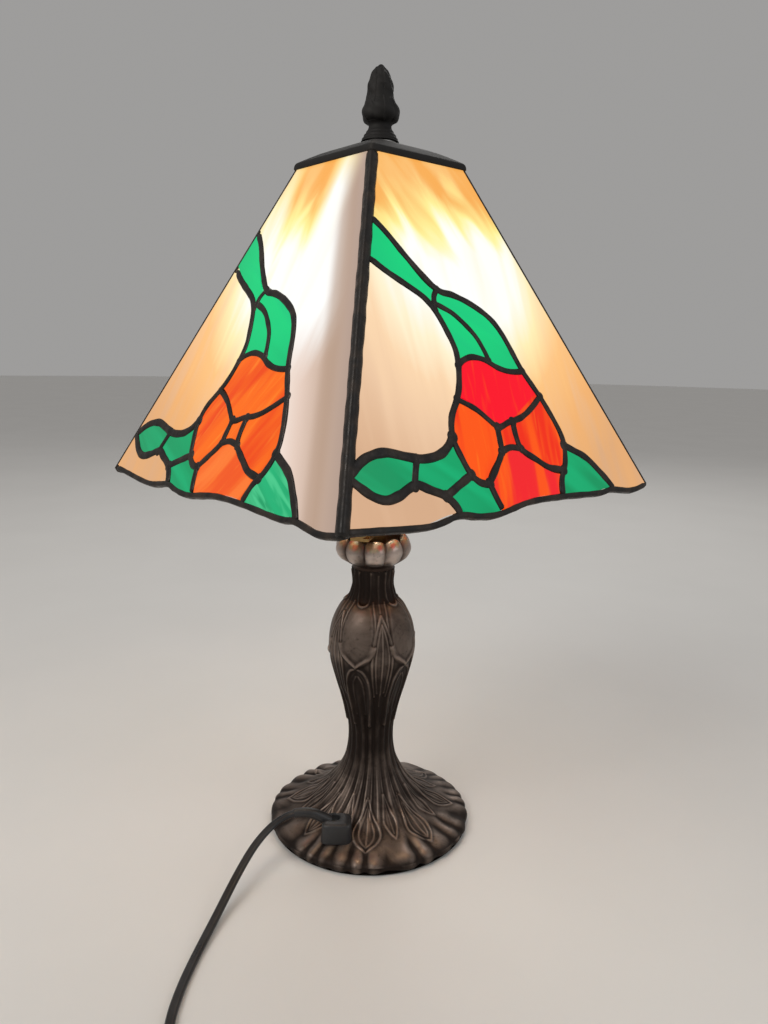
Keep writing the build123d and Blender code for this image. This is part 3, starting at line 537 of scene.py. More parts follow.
BRONZE = bronze("dark_bronze", (0.022, 0.015, 0.012), (0.27, 0.21, 0.175))
COLLAR_BRONZE = bronze("silver_bronze", (0.045, 0.027, 0.020), (0.58, 0.49, 0.44), 0.32)
CHARCOAL = bronze("charcoal_bronze", (0.012, 0.0105, 0.0095), (0.075, 0.062, 0.052), 0.52, 0.35)
SOLDER = solder()
BRASS = plain_metal("brass", (0.42, 0.27, 0.11), 0.36, (0.20, 0.12, 0.05))
STEEL = plain_metal("zinc_plated_steel", (0.42, 0.41, 0.39), 0.4, (0.27, 0.25, 0.22))
NICKEL = plain_metal("nickel", (0.66, 0.64, 0.60), 0.2, (0.48, 0.45, 0.40))
ALUMINIUM = plain_metal("aluminium", (0.72, 0.72, 0.73), 0.3, (0.55, 0.55, 0.55))
PORCELAIN = plastic("porcelain", (0.80, 0.78, 0.74), 0.2, 200)
BLACK = plastic("black_plastic", (0.014, 0.014, 0.015), 0.36, 700)
CORD_PVC = plastic("cord_pvc", (0.010, 0.010, 0.011), 0.28, 500)
CLEAR_GLASS = plastic("stem_glass", (0.70, 0.74, 0.72), 0.12, 60)
NODE_PAINTS = {
    "felt": felt(), "steel": STEEL, "brass": BRASS, "porcelain": PORCELAIN, "black_plastic": BLACK,
    "cord": CORD_PVC, "nickel": NICKEL, "aluminium": ALUMINIUM, "bulb_glass": bulb_glow(),
    "clear_glass": CLEAR_GLASS, "solder": SOLDER, "bronze": BRONZE, "copper_bronze": COLLAR_BRONZE,
}


def paint_nodes():
    """Every CAD node gets its detailed material."""
    for part in frame["record"]["subparts"]:
        name, slot = part["node"], part["material_slot"]
        if slot.endswith("_glass") and name.rsplit("_", 1)[1] in TURNS:
            kind, side = name.split("_")[0], name.rsplit("_", 1)[1]
            paint = glass_paint(kind, side)
        else:
            paint = NODE_PAINTS[slot]
        for place in frame["nodes"][name].material_slots:
            place.material = paint


# ---- cord -------------------------------------------------------------------------------------
def spline_points(name, route):
    """Points along the smooth line of a route: a NURBS spline that the route's points control."""
    curve = bpy.data.curves.new(name, "CURVE")
    curve.dimensions = "3D"
    curve.resolution_u = 6
    spline = curve.splines.new("NURBS")
    spline.points.add(len(route) - 1)
    for point, place in zip(spline.points, route):
        point.co = (*place, 1.0)
    spline.order_u = 3
    spline.use_endpoint_u = True
    holder = bpy.data.objects.new(name, curve)
    line = bpy.data.meshes.new_from_object(holder)
    points = np.array([v.co for v in line.vertices])
    bpy.data.meshes.remove(line)
    bpy.data.objects.remove(holder)
    bpy.data.curves.remove(curve)
    keep = np.concatenate([[True], np.linalg.norm(np.diff(points, axis=0), axis=1) > 1e-6])
    return points[keep]


def twin_section():
    """The flat cord's outline: two round cores side by side with a shallow groove between them."""
    shape = []
    core = CORD_THICKNESS / 2
    middle = CORD_WIDTH / 2 - core
    for t in np.linspace(0, 2 * math.pi, 28, endpoint=False):
        across = middle * math.copysign(abs(math.cos(t)) ** 0.35, math.cos(t)) + core * math.cos(t)
        up = core * math.sin(t) * (1 - 0.2 * math.exp(-((across / (0.5 * core)) ** 2)))
        shape.append((across, up))
    return np.array(shape)


def tube_along(line, section, twist, grow=None):
    """A tube with a given section along a line; twist turns the section, 0 lies flat."""
    ahead = np.gradient(line, axis=0)
    ahead /= np.linalg.norm(ahead, axis=1)[:, None]
    aside = np.cross(ahead, (0, 0, 1))
    aside /= np.linalg.norm(aside, axis=1)[:, None]
    above = np.cross(aside, ahead)
    wide = np.cos(twist)[:, None] * aside + np.sin(twist)[:, None] * above
    thin = np.cross(ahead, wide)
    size = np.ones(len(line)) if grow is None else grow
    rings = line[:, None] + size[:, None, None] * (
        section[None, :, 0, None] * wide[:, None] - section[None, :, 1, None] * thin[:, None]
    )
    points = rings.reshape(-1, 3)
    return points, tube_faces(len(line), len(section))


def coil_route():
    """The turns of the put-away coil: inward on the lower layer, outward on the upper one."""
    count = int(COIL_TURNS * POINTS_PER_TURN)
    route = []
    for i in range(1, count):
        turned = i / POINTS_PER_TURN
        inward = 1 - abs(2 * turned / COIL_TURNS - 1)
        radius = COIL_OUTER_TURN + (COIL_INNER_TURN - COIL_OUTER_TURN) * inward
        rise = float(soft_step(turned, COIL_TURNS / 2 - 0.4, COIL_TURNS / 2 + 0.4))
        height = COIL_LAYERS[0] + (COIL_LAYERS[1] - COIL_LAYERS[0]) * rise
        angle = 2 * math.pi * turned
        spot = Vector((*COIL_CENTRE, height))
        spot = spot - radius * math.cos(angle) * TOWARD + radius * math.sin(angle) * ACROSS
        route.append(tuple(spot))
    return route


def lie_down(line, twist):
    """Lets the flat cord down onto the table where it lies flat near it."""
    drop = CORD_WIDTH / 2 - CORD_THICKNESS / 2
    near = 1 - soft_step(line[:, 2], 0.0035, 0.012)
    settled = line.copy()
    settled[:, 2] -= drop * near * np.cos(twist) ** 2
    return settled


def cord_to_switch():
    line = spline_points("cord_to_switch_line", CORD_ROUTE)
    twist = np.zeros(len(line))
    line = lie_down(line, twist)
    points, faces = tube_along(line, twin_section(), twist)
    cord = piece("mains_cord", points, faces, CORD_PVC, "base", ["power_cord"], unit=1)
    on_it = [frame["nodes"][n] for n in ("switch_lower_shell", "switch_upper_shell", "switch_screws",
                                         "switch_rocker", "switch_pivot")]
    on_it + [strain_relief(line)]


def strain_relief(line):
    """The smooth, tapered sleeve where the cord leaves the block on the foot."""
    along = along_of(line)
    spots = np.linspace(0.0005, 0.0262, 90)
    middle = np.stack([np.interp(spots, along, line[:, k]) for k in range(3)], 1)
    fraction = (spots - spots[0]) / (spots[-1] - spots[0])
    radius = 0.0041 - 0.0010 * fraction
    turn = np.linspace(0, 2 * math.pi, 32, endpoint=False)
    ring = np.stack([np.cos(turn), np.sin(turn)], 1)
    points, faces = tube_along(middle, ring, np.zeros(len(middle)), radius - 0.0002)
    return piece("cord_strain_relief", points, faces, BLACK, "base", ["cord_sleeve"], unit=1)


def outlet_block():
    """The moulded block on the foot, rounded, with a round recess that the lead comes up in."""
    hole = Vector((-2.2, -2.6))
    rings = [
        (10.6, 8.9, 2.4, 12.0), (10.2, 8.7, 2.4, 15.0), (9.9, 8.45, 2.4, 20.0), (9.9, 8.4, 2.6, 23.4),
        (9.5, 8.0, 2.6, 24.7), (8.7, 7.2, 2.6, 25.3),
    ]
    columns = 72
    points = []
    for wide, deep, square, z in rings:
        for k in range(columns):
            t = 2 * math.pi * k / columns
            size = (abs(math.cos(t)) ** (square * 2) + abs(math.sin(t)) ** (square * 2)) ** (-0.5 / square)
            spot = BLOCK_CENTRE + ACROSS * wide * size * math.cos(t)
            points.append(spot + TOWARD * deep * size * math.sin(t))
            points[-1].z = z
    for radius, z in ((5.0, 25.35), (4.5, 25.0), (4.2, 23.6), (4.1, 20.5), (0.2, 20.3)):
        for k in range(columns):
            t = 2 * math.pi * k / columns
            spot = BLOCK_CENTRE + ACROSS * (hole.x + radius * math.cos(t))
            points.append(spot + TOWARD * (hole.y + radius * math.sin(t)))
            points[-1].z = z
    faces = grid_faces(len(points) // columns, columns)
    piece("outlet_block_body", [tuple(q) for q in points], faces, BLACK, "base",
          ["cord_outlet_block"])


def cord_to_plug():
    route = TO_COIL_ROUTE + coil_route() + TO_PLUG_ROUTE
    line = spline_points("cord_to_plug_line", route)
    along = along_of(line)
    on_edge = soft_step(along, 0.004, 0.050) * soft_step(along[-1] - along, 0.004, 0.060)
    twist = on_edge * math.pi / 2
    points, faces = tube_along(line, twin_section(), twist)
    cord = piece("mains_cord_coil", points, faces, CORD_PVC, "base",
                 ["power_cord_to_coil", "cord_coil", "power_cord_tail"], unit=1)


# ---- cast base --------------------------------------------------------------------------------
class Relief:
    """Raised ornament over a turned surface: height at each (angle, station along the outline)."""

    def __init__(self, outline, rings, columns):
        self.profile = evenly(smooth_line(outline, 10), rings)
        self.station = along_of(self.profile)
        self.angle = np.arange(columns) * 360.0 / columns
        self.radius = self.profile[:, 0][:, None]
        self.level = self.profile[:, 1][:, None]
        self.lines = np.zeros((rings, columns))
        self.body = np.zeros((rings, columns))
        slope = np.gradient(self.profile, axis=0)
        slope /= np.linalg.norm(slope, axis=1)[:, None]
        self.outward = np.stack([slope[:, 1], -slope[:, 0]], 1)

    def offset(self, centre):
        """Angle from a motif's centre line, in degrees from -180 to 180."""
        return (self.angle - centre + 180) % 360 - 180

    def at_level(self, level):
        """The station of a height on the stem."""
        return float(np.interp(level, self.profile[:, 1], self.station))

    def at_radius(self, radius):
        """The station of a radius on the foot."""
        foot = self.profile[:, 1] < 54
        foot[: np.argmax(self.profile[:, 0])] = False
        return float(np.interp(-radius, -self.profile[foot, 0], self.station[foot]))

    def draw(self, centres, path, width, height, mirror=True):
        """A raised line through (degrees, station) points, repeated at each centre."""
        line = smooth_line(path, 4)
        sides = (1, -1) if mirror else (1,)
        for centre in centres:
            off = self.offset(centre)
            for side in sides:
                for (a, s), (b, e) in zip(line, line[1:]):
                    self.run(off, side * a, s, side * b, e, width, height)

    def run(self, off, a, s, b, e, width, height):
        """One straight run of a raised line."""
        margin = 3 * width
        rows = np.where((self.station > min(s, e) - margin) & (self.station < max(s, e) + margin))[0]
        if not len(rows):
            return
        reach = math.degrees(margin / max(4.0, float(self.radius[rows].min())))
        columns = np.where((off > min(a, b) - reach) & (off < max(a, b) + reach))[0]
        if not len(columns):
            return
        patch = np.ix_(rows, columns)
        around = np.radians(off[columns])[None] * self.radius[rows]
        start_x, end_x = math.radians(a) * self.radius[rows], math.radians(b) * self.radius[rows]
        up = self.station[rows][:, None]
        dx, dy = end_x - start_x, e - s
        t = np.clip(((around - start_x) * dx + (up - s) * dy) / (dx**2 + dy**2 + 1e-9), 0, 1)
        away = np.hypot(around - start_x - t * dx, up - s - t * dy)
        self.lines[patch] = np.maximum(self.lines[patch], height * np.exp(-((away / width) ** 2)))

    def band(self, low, high, soft):
        """1 between two heights of the stem, fading over a soft edge."""
        above_low = soft_step(self.level, low - soft, low + soft)
        return above_low * (1 - soft_step(self.level, high - soft, high + soft))

    def points(self):
        rise = self.lines + self.body
        turn = np.radians(self.angle)[None]
        radius = self.profile[:, 0][:, None] + rise * self.outward[:, 0][:, None]
        height = self.profile[:, 1][:, None] + rise * self.outward[:, 1][:, None]
        x, y = radius * np.cos(turn), radius * np.sin(turn)
        return np.stack([x, y, height + 0 * x], 2).reshape(-1, 3)

    def standing(self):
        """How far each spot stands above its surroundings, from -1 to 1."""
        rise = self.lines + self.body
        around = rise.copy()
        for _ in range(14):
            around = (around + np.roll(around, 1, 1) + np.roll(around, -1, 1)) / 3
            around[1:-1] = (around[:-2] + around[1:-1] + around[2:]) / 3
        return np.clip((rise - around) / 0.28, -1, 1)

    def make(self, name, material, body, stands_for, wear_and_shade):
        rings, columns = self.lines.shape
        made = piece(name, self.points(), grid_faces(rings, columns), material, body, stands_for)
        store_wear_and_shade(made, np.clip(wear_and_shade, 0, 1).ravel())
        return made


PETAL_CENTRES = [AWAY - 21.5 + 72 * k for k in range(5)]
LEAF_CENTRES = [c + 36 for c in PETAL_CENTRES]
LOOP_CENTRES = [AWAY - 2 + 45 * k for k in range(8)]
FLUTES = 20
LOBES = 30


def stem_ornament(r):
    """Hooks on the neck, smooth drooping petals and veined leaves on the bulge, curled arches below."""
    s = r.at_level
    hook = [(16, s(189)), (15.5, s(178)), (14.5, s(171)), (9, s(167)), (0, s(165.8))]
    r.draw(PETAL_CENTRES, hook, 0.85, 0.9)
    r.draw(LEAF_CENTRES, [(0, s(187)), (0, s(174)), (0, s(163))], 0.8, 0.5)
    edge = [(23, s(169)), (26, s(160)), (26.5, s(152)), (25.5, s(144)), (22, s(137.5))]
    r.draw(PETAL_CENTRES, edge, 0.8, 0.7)
    curl = [(24, s(141)), (20, s(135.2)), (12, s(131.4)), (4, s(128.4)), (0, s(126.4))]
    r.draw(PETAL_CENTRES, curl, 1.7, 1.5)
    leaf = [(0, s(161.5)), (6, s(155)), (10.5, s(147)), (13, s(138)), (14, s(129)), (13, s(118)),
            (10, s(104))]
    r.draw(LEAF_CENTRES, leaf, 0.95, 0.9)
    inner = [(0, s(156)), (4.5, s(149)), (7.5, s(141)), (9, s(132)), (8.6, s(121)), (6, s(107))]
    r.draw(LEAF_CENTRES, inner, 0.7, 0.45)
    r.draw(LEAF_CENTRES, [(0, s(156)), (0, s(130)), (0, s(96))], 0.65, 0.5, mirror=False)
    arch = [(3, s(125.4)), (10, s(123)), (16, s(117)), (19.5, s(107)), (20, s(95)), (18, s(80))]
    r.draw(PETAL_CENTRES, arch, 1.25, 1.25)
    arch = [(2, s(119)), (7, s(114)), (10, s(104)), (10, s(88))]
    r.draw(PETAL_CENTRES, arch, 1.0, 0.6)
    for centre in PETAL_CENTRES:
        half = np.interp(r.level, [125.6, 129, 133.5, 140, 150, 160, 169], [0, 8, 18, 24.5, 26.5, 25.5, 22])
        inside = np.radians(half - np.abs(r.offset(centre))[None]) * r.radius
        r.body += 0.9 * soft_step(inside, -0.3, 2.8) * r.band(126, 167, 2.0)
        hollow = np.interp(r.level, [84, 100, 114, 122], [9, 17, 14, 4])
        inside = np.radians(hollow - np.abs(r.offset(centre))[None]) * r.radius
        r.body -= 0.7 * soft_step(inside, -0.3, 2.2) * r.band(88, 122, 5)
    for centre in LEAF_CENTRES:
        half = np.interp(r.level, [100, 118, 129, 138, 147, 155, 161.5], [8, 13, 14, 13, 10.5, 6, 0])
        inside = np.radians(half - np.abs(r.offset(centre))[None]) * r.radius
        r.body += 0.4 * soft_step(inside, -0.3, 1.5) * r.band(104, 161, 3)


def flutes(r):
    """Ridges that run down the waist and fan out over the foot, with finer ones between them."""
    swing = 3.0 * np.sin(r.station / 19.0)[:, None]
    phase = np.radians(r.angle[None] - PETAL_CENTRES[0] + swing)
    uneven = 1 + 0.25 * np.sin(3 * phase + 1) + 0.15 * np.sin(7 * phase)
    ridge = np.abs(np.cos(FLUTES / 2 * phase)) ** 1.8
    foot = r.level < 54
    depth = 1.2 * (1 - soft_step(r.level, 84, 116)) * (1 - soft_step(r.radius, 24, 46) * foot) * uneven
    second = np.abs(np.cos(FLUTES * phase + 0.9)) ** 5 * 0.5 * uneven
    fan = soft_step(r.radius, 16, 24) * (1 - soft_step(r.radius, 38, 52)) * foot
    neck = 0.7 * (np.abs(np.cos(FLUTES / 2 * phase)) ** 2 - 0.5) * soft_step(r.level, 168, 173)
    r.body += depth * (ridge - 0.45) + second * fan + neck


def foot_ornament(r):
    """Feathered leaves with pointed tips, and rounded, uneven lobes that roll over the rim. It also returns
    the rim's wear, with painted shade on the foot's bottom edge.
    """
    f = r.at_radius
    for k, centre in enumerate(LOOP_CENTRES):
        wide = 1 + 0.2 * math.sin(2.3 * k + 1)
        out = 1.5 * math.sin(1.7 * k)
        leaf = [(1.5, f(29)), (5 * wide, f(36)), (9 * wide, f(43 + out)), (9.6 * wide, f(49 + out)),
                (6 * wide, f(55 + out)), (1.5, f(59.5 + out)), (0, f(61 + out))]
        r.draw([centre], leaf, 0.85, 0.6)
        inner = [(1, f(33)), (4.2 * wide, f(41)), (5.4 * wide, f(48 + out)), (3 * wide, f(54 + out)),
                 (0, f(57.5 + out))]
        r.draw([centre], inner, 0.7, 0.38)
        r.draw([centre], [(0, f(28)), (0.5, f(42)), (0, f(56 + out))], 0.65, 0.35, mirror=False)
        between = centre + 22.5 + 3 * math.sin(3.1 * k)
        small = [(1, f(27)), (4.6, f(36)), (5.6, f(42 - out)), (2.5, f(49 - out)), (0, f(52.5 - out))]
        r.draw([between], small, 0.8, 0.5)
        r.draw([between], [(0, f(27)), (0.4, f(40)), (0, f(49 - out))], 0.6, 0.3, mirror=False)
    turned = np.radians(r.angle[None] - LOOP_CENTRES[0])
    wander = 1.1 * np.sin(3 * turned + 1.0) + 0.7 * np.sin(5 * turned + 2.0) + 0.4 * np.sin(11 * turned)
    lobe = (0.5 + 0.5 * np.cos(LOBES * turned + 2 * wander)) ** 0.65
    strength = 0.75 + 0.3 * np.sin(2 * turned + 0.6) + 0.2 * np.sin(5 * turned)
    inward = 51 + 3 * np.sin(4 * turned + 1) + 2 * np.sin(9 * turned)
    low = (r.level > 2.5) & (r.level < 16)
    on_rim = soft_step(r.radius, inward, inward + 12) * low
    edge = soft_step(-r.station, -12.5, -5.0)[:, None]
    r.body += 1.7 * strength * (lobe - 0.7) * on_rim * (1 - edge)
    r.body -= 1.5 * strength * (1 - lobe) * edge
    ripple = np.sin(r.station[:, None] / 4.3 + 3 * turned)
    uneven = 0.35 * np.sin(7 * turned + r.station[:, None] / 6) * ripple
    r.body += uneven * soft_step(r.radius, 24, 40) * (r.level < 54) * (r.level > 6)
    # returned for the bronze: wear on the rim's raised lobes, and painted shade darkening the foot's bottom
    # edge
    return 0.25 * (lobe - 0.5) * on_rim - 0.25 * edge


def cast_base():
    r = Relief(BASE_OUTLINE, 560, 760)
    stem_ornament(r)
    flutes(r)
    rim = foot_ornament(r)
    upward = np.clip(r.outward[:, 1][:, None], 0, 1)
    # High spots are rubbed lighter, and the foot's upward faces and the bulge's petal band are a little
    # lighter too. Painted shade darkens the waist below the bulge, the neck under the collar and, through
    # foot_ornament, the foot's bottom edge.
    wear_and_shade = 0.36 + 0.34 * r.standing() + 0.10 * upward * (r.level < 40) + 0.20 * r.band(128, 166, 4)
    wear_and_shade = wear_and_shade + rim - 0.20 * r.band(56, 122, 10) - 0.2 * (r.level > 168)
    r.make("cast_base_ornament", BRONZE, "base", ["cast_base"], wear_and_shade)
    base_lip()


def base_lip():
    """The underside of the foot's rim and the flat top of the stem, closing the casting."""
    for name, rings in (
        ("base_rim_underside", [(70.7, 1.25), (69.5, 1.2), (66.1, 1.25), (66.1, 3.2)]),
        ("stem_top_face", [(14.5, 189.9), (12, 190), (5.3, 190)]),
    ):
        columns = 180
        turn = np.linspace(0, 2 * math.pi, columns, endpoint=False)
        points = [(r * math.cos(t), r * math.sin(t), z) for r, z in rings for t in turn]
        piece(name, points, grid_faces(len(rings), columns), BRONZE, "base")


def lotus_collar():
    """A cup of ten rounded petals that roll outwards, round the top of the stem."""
    r = Relief(COLLAR_OUTLINE, 170, 560)
    turned = np.radians(r.offset(AWAY + 2.6))[None]
    petal = np.abs(np.cos(5 * turned))
    share = (r.station / r.station[-1])[:, None]
    depth = soft_step(share, 0.06, 0.26) * (1 - soft_step(share, 0.66, 0.86))
    r.body -= 3.2 * (1 - petal**0.5) * depth
    r.body += 0.5 * np.sin(share * 11 + 2 * turned) * depth * petal
    # Painted shade keeps the collar's underside dark; the raised petals are rubbed lighter, with a slow
    # random change around the cup.
    wear_and_shade = -0.3 + 0.7 * soft_step(share, 0.05, 0.16) + 0.45 * petal * depth + 0.12 * np.sin(3 * turned + 1)
    r.make("lotus_collar_petals", COLLAR_BRONZE, "base", ["lotus_collar"], wear_and_shade)


# each row of leaves on the finial: its foot, its tips, how many, the angle of the first, and their height
FINIAL_LEAVES = [(474.5, 489.5, 5, 14, 1.2), (485, 500, 5, 50, 1.1), (494, 507.5, 4, 20, 0.8)]


def finial():
    """A bud of overlapping rounded leaves on a turned foot."""
    r = Relief(FINIAL_OUTLINE, 220, 288)
    for low, high, count, first, rise in FINIAL_LEAVES:
        width = 180 / count
        for k in range(count):
            off = np.abs(r.offset(AWAY + first + 360 / count * k))[None] / width
            top = high - (high - low) * 0.42 * off**2.2
            inside = soft_step(top - r.level, -0.2, 1.6) * soft_step(r.level, low - 1, low + 2) * (off < 1)
            taper = np.sqrt(np.clip((high + 2 - r.level) / (high - low), 0, 1))
            r.body = np.maximum(r.body, rise * inside * (1 - 0.6 * off**2) * taper)
            vein = [(0, r.at_level(low)), (0, r.at_level(high - 1))]
            r.draw([AWAY + first + 360 / count * k], vein, 0.4, 0.3)
    for ring, size in ((465.2, 0.35), (467.4, 0.3), (469.6, 0.25)):
        r.body += size * np.exp(-(((r.level - ring) / 0.5) ** 2))
    rise = np.clip(r.body, 0, 1.4)
    around, height = np.radians(r.angle)[None], r.level
    below_tip = soft_step(FINIAL_OUTLINE[-1][1] - height, 0, 4)  # keeps the lumps from raising the tip
    lumps = 0.45 * np.sin(3 * around + height / 2.1) * np.sin(height / 2.7 + around)
    lumps = lumps * (height > 475) * below_tip
    r.body = (rise + lumps - 0.3) * np.clip((12.3 - r.radius) / 0.9, 0.15, 1)
    r.make("finial_bud", CHARCOAL, "finial", ["finial"], 0.05 + 0.18 * rise)


# ---- cap --------------------------------------------------------------------------------------
CAP_SIDE_POINTS = 24  # points along each of the cap's four sides
CAP_TOP_Z = 462.0


def rounded_square(half, corner, z):
    """Points round a level square with rounded corners."""
    ring = []
    for k in range(4):
        for i in range(CAP_SIDE_POINTS):
            t = i / CAP_SIDE_POINTS
            flat = half - corner
            if t < 0.6:
                spot = (half, flat * (2 * t / 0.6 - 1))
            else:
                turn = (t - 0.6) / 0.4 * math.pi / 2
                spot = (flat + corner * math.cos(turn), flat + corner * math.sin(turn))
            a = k * math.pi / 2
            x = spot[0] * math.cos(a) - spot[1] * math.sin(a)
            y = spot[0] * math.sin(a) + spot[1] * math.cos(a)
            ring.append((x, y, z))
    return ring


CAP_LEVELS = [
    (37.9, 1.2, 450.2), (38.1, 1.3, 447.2), (38.6, 1.6, 447.1), (38.9, 1.8, 447.6), (38.8, 2.0, 449.2),
    (38.3, 2.4, 450.6), (37.2, 2.6, 451.5), (33, 3.0, 453.8), (27, 3.6, 456.8), (21, 4.6, 459.1),
    (16, 6.0, 460.7), (12.6, 7.6, 461.6), (10.5, 8.5, 462.0), (6, 5.9, 462.0), (4, 3.9, 462.0),
]


def roof_cap():
    levels = smooth_line(CAP_LEVELS, 4)
    points, wear_and_shade = [], []
    for half, corner, z in levels:
        ring = rounded_square(half, min(corner, half - 0.05), min(z, CAP_TOP_Z))
        points += ring
        wear_and_shade += [0.15 + 0.3 * math.exp(-((abs(abs(x) - abs(y))) / 3.0) ** 2) for x, y, _ in ring]
    faces = grid_faces(len(levels), 4 * CAP_SIDE_POINTS)
    made = piece("roof_cap_dome", points, faces, CHARCOAL, "shade", ["roof_cap"])
    store_wear_and_shade(made, wear_and_shade)


# ---- solder work ------------------------------------------------------------------------------
PANEL_RIGHT = np.array([0.0, 1.0, 0.0])
PANEL_UP = np.array([-math.sin(LEAN), 0.0, math.cos(LEAN)])
PANEL_OUT = np.array([math.cos(LEAN), 0.0, math.sin(LEAN)])


def on_panel(u, v, out):
    corner = np.array([SHADE_HALF, 0.0, SHADE_BOTTOM_Z])
    return corner + np.outer(u, PANEL_RIGHT) + np.outer(v, PANEL_UP) + np.outer(out, PANEL_OUT)


def half_width(v):
    return SHADE_HALF - (SHADE_HALF - SHADE_TOP_HALF) * v / SLANT


def bead_profile(width, proud):
    """Across a bead: a low dome outside the glass and another inside it."""
    side = np.linspace(-1, 1, 11)
    dome = proud * np.sqrt(1 - np.clip(np.abs(side), 0, 1) ** 2.4)
    outside = np.stack([side * width / 2, dome], 1)
    inside = np.stack([side[::-1] * width / 2, -GLASS - dome[::-1]], 1)
    return np.vstack([outside, inside])


def bead(points, width, seed):
    """A hand-laid solder bead along a line on the panel, slightly uneven."""
    line = smooth_line(points, 6)
    inside = np.abs(line[:, 0]) < half_width(line[:, 1]) - 0.6
    line = line[inside]
    ahead = np.gradient(line, axis=0)
    ahead /= np.linalg.norm(ahead, axis=1)[:, None]
    aside = np.stack([-ahead[:, 1], ahead[:, 0]], 1)
    along = along_of(line)
    profile = bead_profile(1.0, 1.0)
    rows = []
    for i, spot in enumerate(line):
        uneven = 1 + 0.05 * math.sin(along[i] / 3.1 + seed) + 0.04 * math.sin(along[i] / 1.7 + 2 * seed)
        end = min(1.0, 0.55 + min(along[i], along[-1] - along[i]) / 2.0)
        across = profile[:, 0] * width * uneven * end
        out = np.where(profile[:, 1] > -0.5, profile[:, 1] * (PROUD - 0.06) * end, 0)
        deep = profile[:, 1] < -0.5
        out[deep] = -GLASS + (profile[deep, 1] + GLASS) * (PROUD - 0.06) * end
        u = spot[0] + aside[i, 0] * across
        v = spot[1] + aside[i, 1] * across
        rows.append(on_panel(u, v, out))
    return np.vstack(rows), tube_faces(len(rows), len(profile))


def border_bead():
    """The bead along the wavy bottom edge, from mitre to mitre."""
    middle = [(u, v + BORDER / 2) for u, v in BOTTOM_EDGE]
    return bead(middle, BORDER, 0.7)


def joined(parts):
    """Several meshes put together as one list of points and faces."""
    points, faces, start = [], [], 0
    for spots, sides in parts:
        points.append(spots)
        faces += [tuple(i + start for i in side) for side in sides]
        start += len(spots)
    return np.vstack(points), faces


def blobs():
    """Small pools of solder where lines meet."""
    made = []
    for width, points in SOLDER_LINES:
        for u, v in (points[0], points[-1]):
            if abs(u) > half_width(v) - 6 or v < 6:
                continue
            turn = np.linspace(0, 2 * math.pi, 16, endpoint=False)
            rings = [(1.0, 0.0), (0.75, 0.62), (0.4, 0.9), (0.04, 1.0)]
            size = width * 0.74
            spots = []
            for a, h in rings:
                out = np.full(len(turn), h * (PROUD - 0.02))
                spots.append(on_panel(u + size * a * np.cos(turn), v + size * a * np.sin(turn), out))
            made.append((np.vstack(spots), grid_faces(len(rings), len(turn))))
    return made


def panel_solder():
    parts = [bead(points, width, i) for i, (width, points) in enumerate(SOLDER_LINES)]
    points, faces = joined(parts + [border_bead()] + blobs())
    for side, turn in TURNS.items():
        piece(f"solder_beads_{side}", rotated(points, turn), faces, SOLDER, "shade",
              [f"solder_lines_{side}"])


def corner_bead(width, proud, depth):
    """A rounded bead down the +X -Y corner of the shade."""
    low = np.array([SHADE_HALF, -SHADE_HALF, SHADE_BOTTOM_Z])
    high = np.array([SHADE_TOP_HALF, -SHADE_TOP_HALF, SHADE_TOP_Z])
    along = (high - low) / np.linalg.norm(high - low)
    normals = [PANEL_OUT, np.array([0.0, -math.cos(LEAN), math.sin(LEAN)])]
    inward = [np.cross(along, normals[0]), np.cross(normals[1], along)]
    ridge = normals[0] + normals[1]
    ridge /= np.linalg.norm(ridge)
    rise = float(ridge @ normals[0])
    outer = [inward[i] * width + normals[i] * 0.1 for i in (0, 1)]
    control = 2 * ridge * (proud / rise) - (outer[0] + outer[1]) / 2
    t = np.linspace(0, 1, 15)[:, None]
    dome = (1 - t) ** 2 * outer[0] + 2 * t * (1 - t) * control + t**2 * outer[1]
    inner = [inward[i] * width - normals[i] * depth for i in (1, 0)]
    loop = np.vstack([dome, inner[0], -ridge * (depth / rise), inner[1]])
    length = np.linalg.norm(high - low)
    spots = np.linspace(-0.6, length - 0.5, 130)
    rows = []
    for spot in spots:
        uneven = 1 + 0.035 * math.sin(spot / 4.3) + 0.03 * math.sin(spot / 2.1 + 1)
        rows.append(low + along * spot + loop * uneven)
    return np.vstack(rows), tube_faces(len(rows), len(loop))


def corner_seams():
    """The broad seams on two opposite corners and the fine ones on the other two."""
    for name, width, proud, depth, turns in (
        ("broad", WIDE_SEAM, PROUD, GLASS + PROUD, (0, 180)),
        ("fine", NARROW_SEAM, 0.30, 0.9, (90, 270)),
    ):
        seam, faces = corner_bead(width, proud, depth)
        points, sides = joined([(rotated(seam, turn), faces) for turn in turns])
        piece(f"corner_beads_{name}", points, sides, SOLDER, "shade", [f"corner_seams_{name}"])


# ---- stage ------------------------------------------------------------------------------------
CAMERA_DISTANCE, CAMERA_HEIGHT = 0.5333, 0.3368
CAMERA_YAW, CAMERA_PITCH, CAMERA_ROLL = -0.73, 11.47, 1.05
LAMP_MIDDLE = 0.22  # height that the lights are aimed at
FLOOR_RADIUS = 9
FOCAL = 797.6 / 1024  # focal length as a share of the picture's height


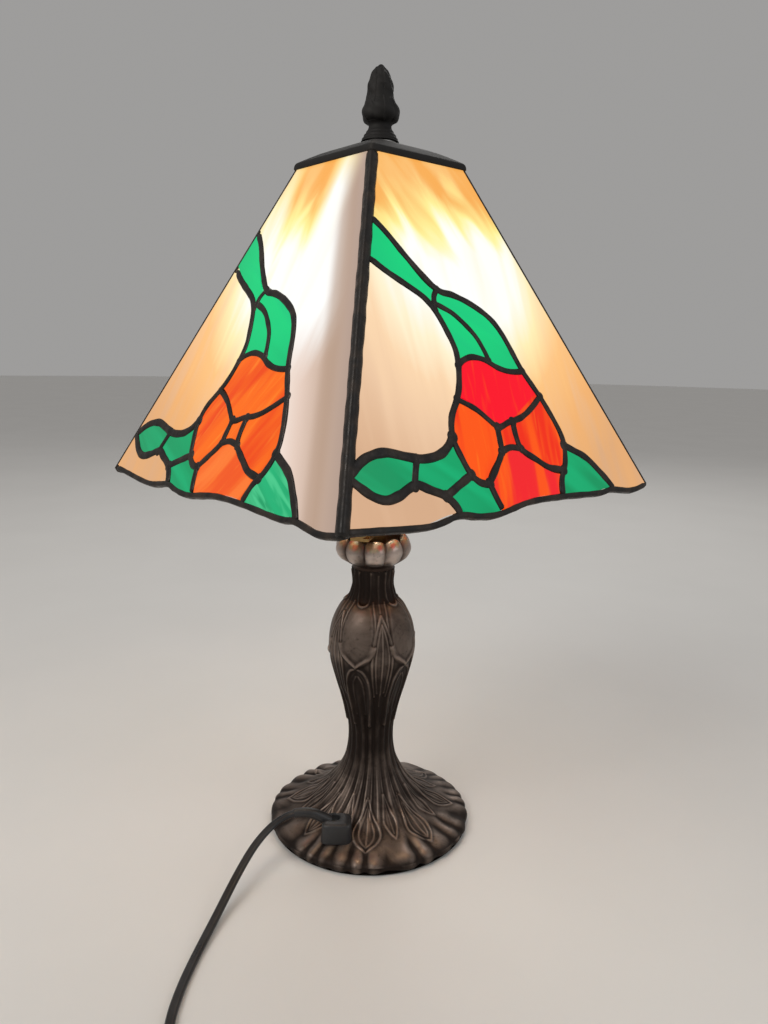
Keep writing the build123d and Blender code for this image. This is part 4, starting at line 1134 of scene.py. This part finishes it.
def camera():
    """The photograph's viewpoint, a little above the lamp's middle and looking slightly down."""
    yaw, pitch, roll = (math.radians(a) for a in (CAMERA_YAW, CAMERA_PITCH, CAMERA_ROLL))
    level = -math.sin(yaw) * ACROSS - math.cos(yaw) * TOWARD
    ahead = math.cos(pitch) * level - Vector((0, 0, math.sin(pitch)))
    right = math.cos(yaw) * ACROSS - math.sin(yaw) * TOWARD
    up = right.cross(ahead)
    rolled_right = math.cos(roll) * right + math.sin(roll) * up
    rolled_up = -math.sin(roll) * right + math.cos(roll) * up
    data = bpy.data.cameras.new("camera")
    data.sensor_fit = "VERTICAL"
    data.sensor_height = 36
    data.lens = 36 * FOCAL
    data.clip_start = 0.01
    made = bpy.data.objects.new("camera", data)
    bpy.context.scene.collection.objects.link(made)
    made.matrix_world = Matrix.Translation(TOWARD * CAMERA_DISTANCE + Vector((0, 0, CAMERA_HEIGHT))) @ Matrix(
        (rolled_right, rolled_up, -ahead)
    ).transposed().to_4x4()
    bpy.context.scene.camera = made


def area_light(name, azimuth, elevation, distance, size, watts, colour):
    """A soft square light aimed at the lamp's middle."""
    data = bpy.data.lights.new(name, "AREA")
    data.size = size
    data.energy = watts
    data.color = colour
    made = bpy.data.objects.new(name, data)
    turn, lift = math.radians(azimuth), math.radians(elevation)
    way = Vector((math.cos(lift) * math.cos(turn), math.cos(lift) * math.sin(turn), math.sin(lift)))
    place = Matrix.Translation(way * distance + Vector((0, 0, LAMP_MIDDLE)))
    made.matrix_world = place @ way.to_track_quat("Z", "Y").to_matrix().to_4x4()
    bpy.context.scene.collection.objects.link(made)


def studio():
    bpy.context.scene.view_settings.view_transform = "Standard"
    area_light("key", AWAY - 50, 42, 1.6, 0.9, 10, (1.0, 0.97, 0.93))
    area_light("fill", AWAY + 60, 30, 1.8, 1.2, 4, (0.93, 0.96, 1.0))
    area_light("back", AWAY + 170, 38, 1.8, 1.0, 6, (1.0, 0.98, 0.95))
    world = bpy.data.worlds.new("studio_air")
    world.use_nodes = True
    world.node_tree.nodes["Background"].inputs["Color"].default_value = (0.62, 0.61, 0.60, 1)
    world.node_tree.nodes["Background"].inputs["Strength"].default_value = 0.55
    bpy.context.scene.world = world
    columns = 64
    turn = np.linspace(0, 2 * math.pi, columns, endpoint=False)
    mesh = bpy.data.meshes.new("floor")
    edge = [(FLOOR_RADIUS * math.cos(t), FLOOR_RADIUS * math.sin(t), 0) for t in turn]
    mesh.from_pydata(edge, [], [tuple(range(columns))])
    mesh.materials.append(floor_paint())
    floor = bpy.data.objects.new("floor", mesh)
    bpy.context.scene.collection.objects.link(floor)


# ---- assembly ---------------------------------------------------------------------------------
camera()
paint_nodes()
outlet_block()
cord_to_switch()
cord_to_plug()
cast_base()
lotus_collar()
finial()
roof_cap()
panel_solder()
corner_seams()
studio()
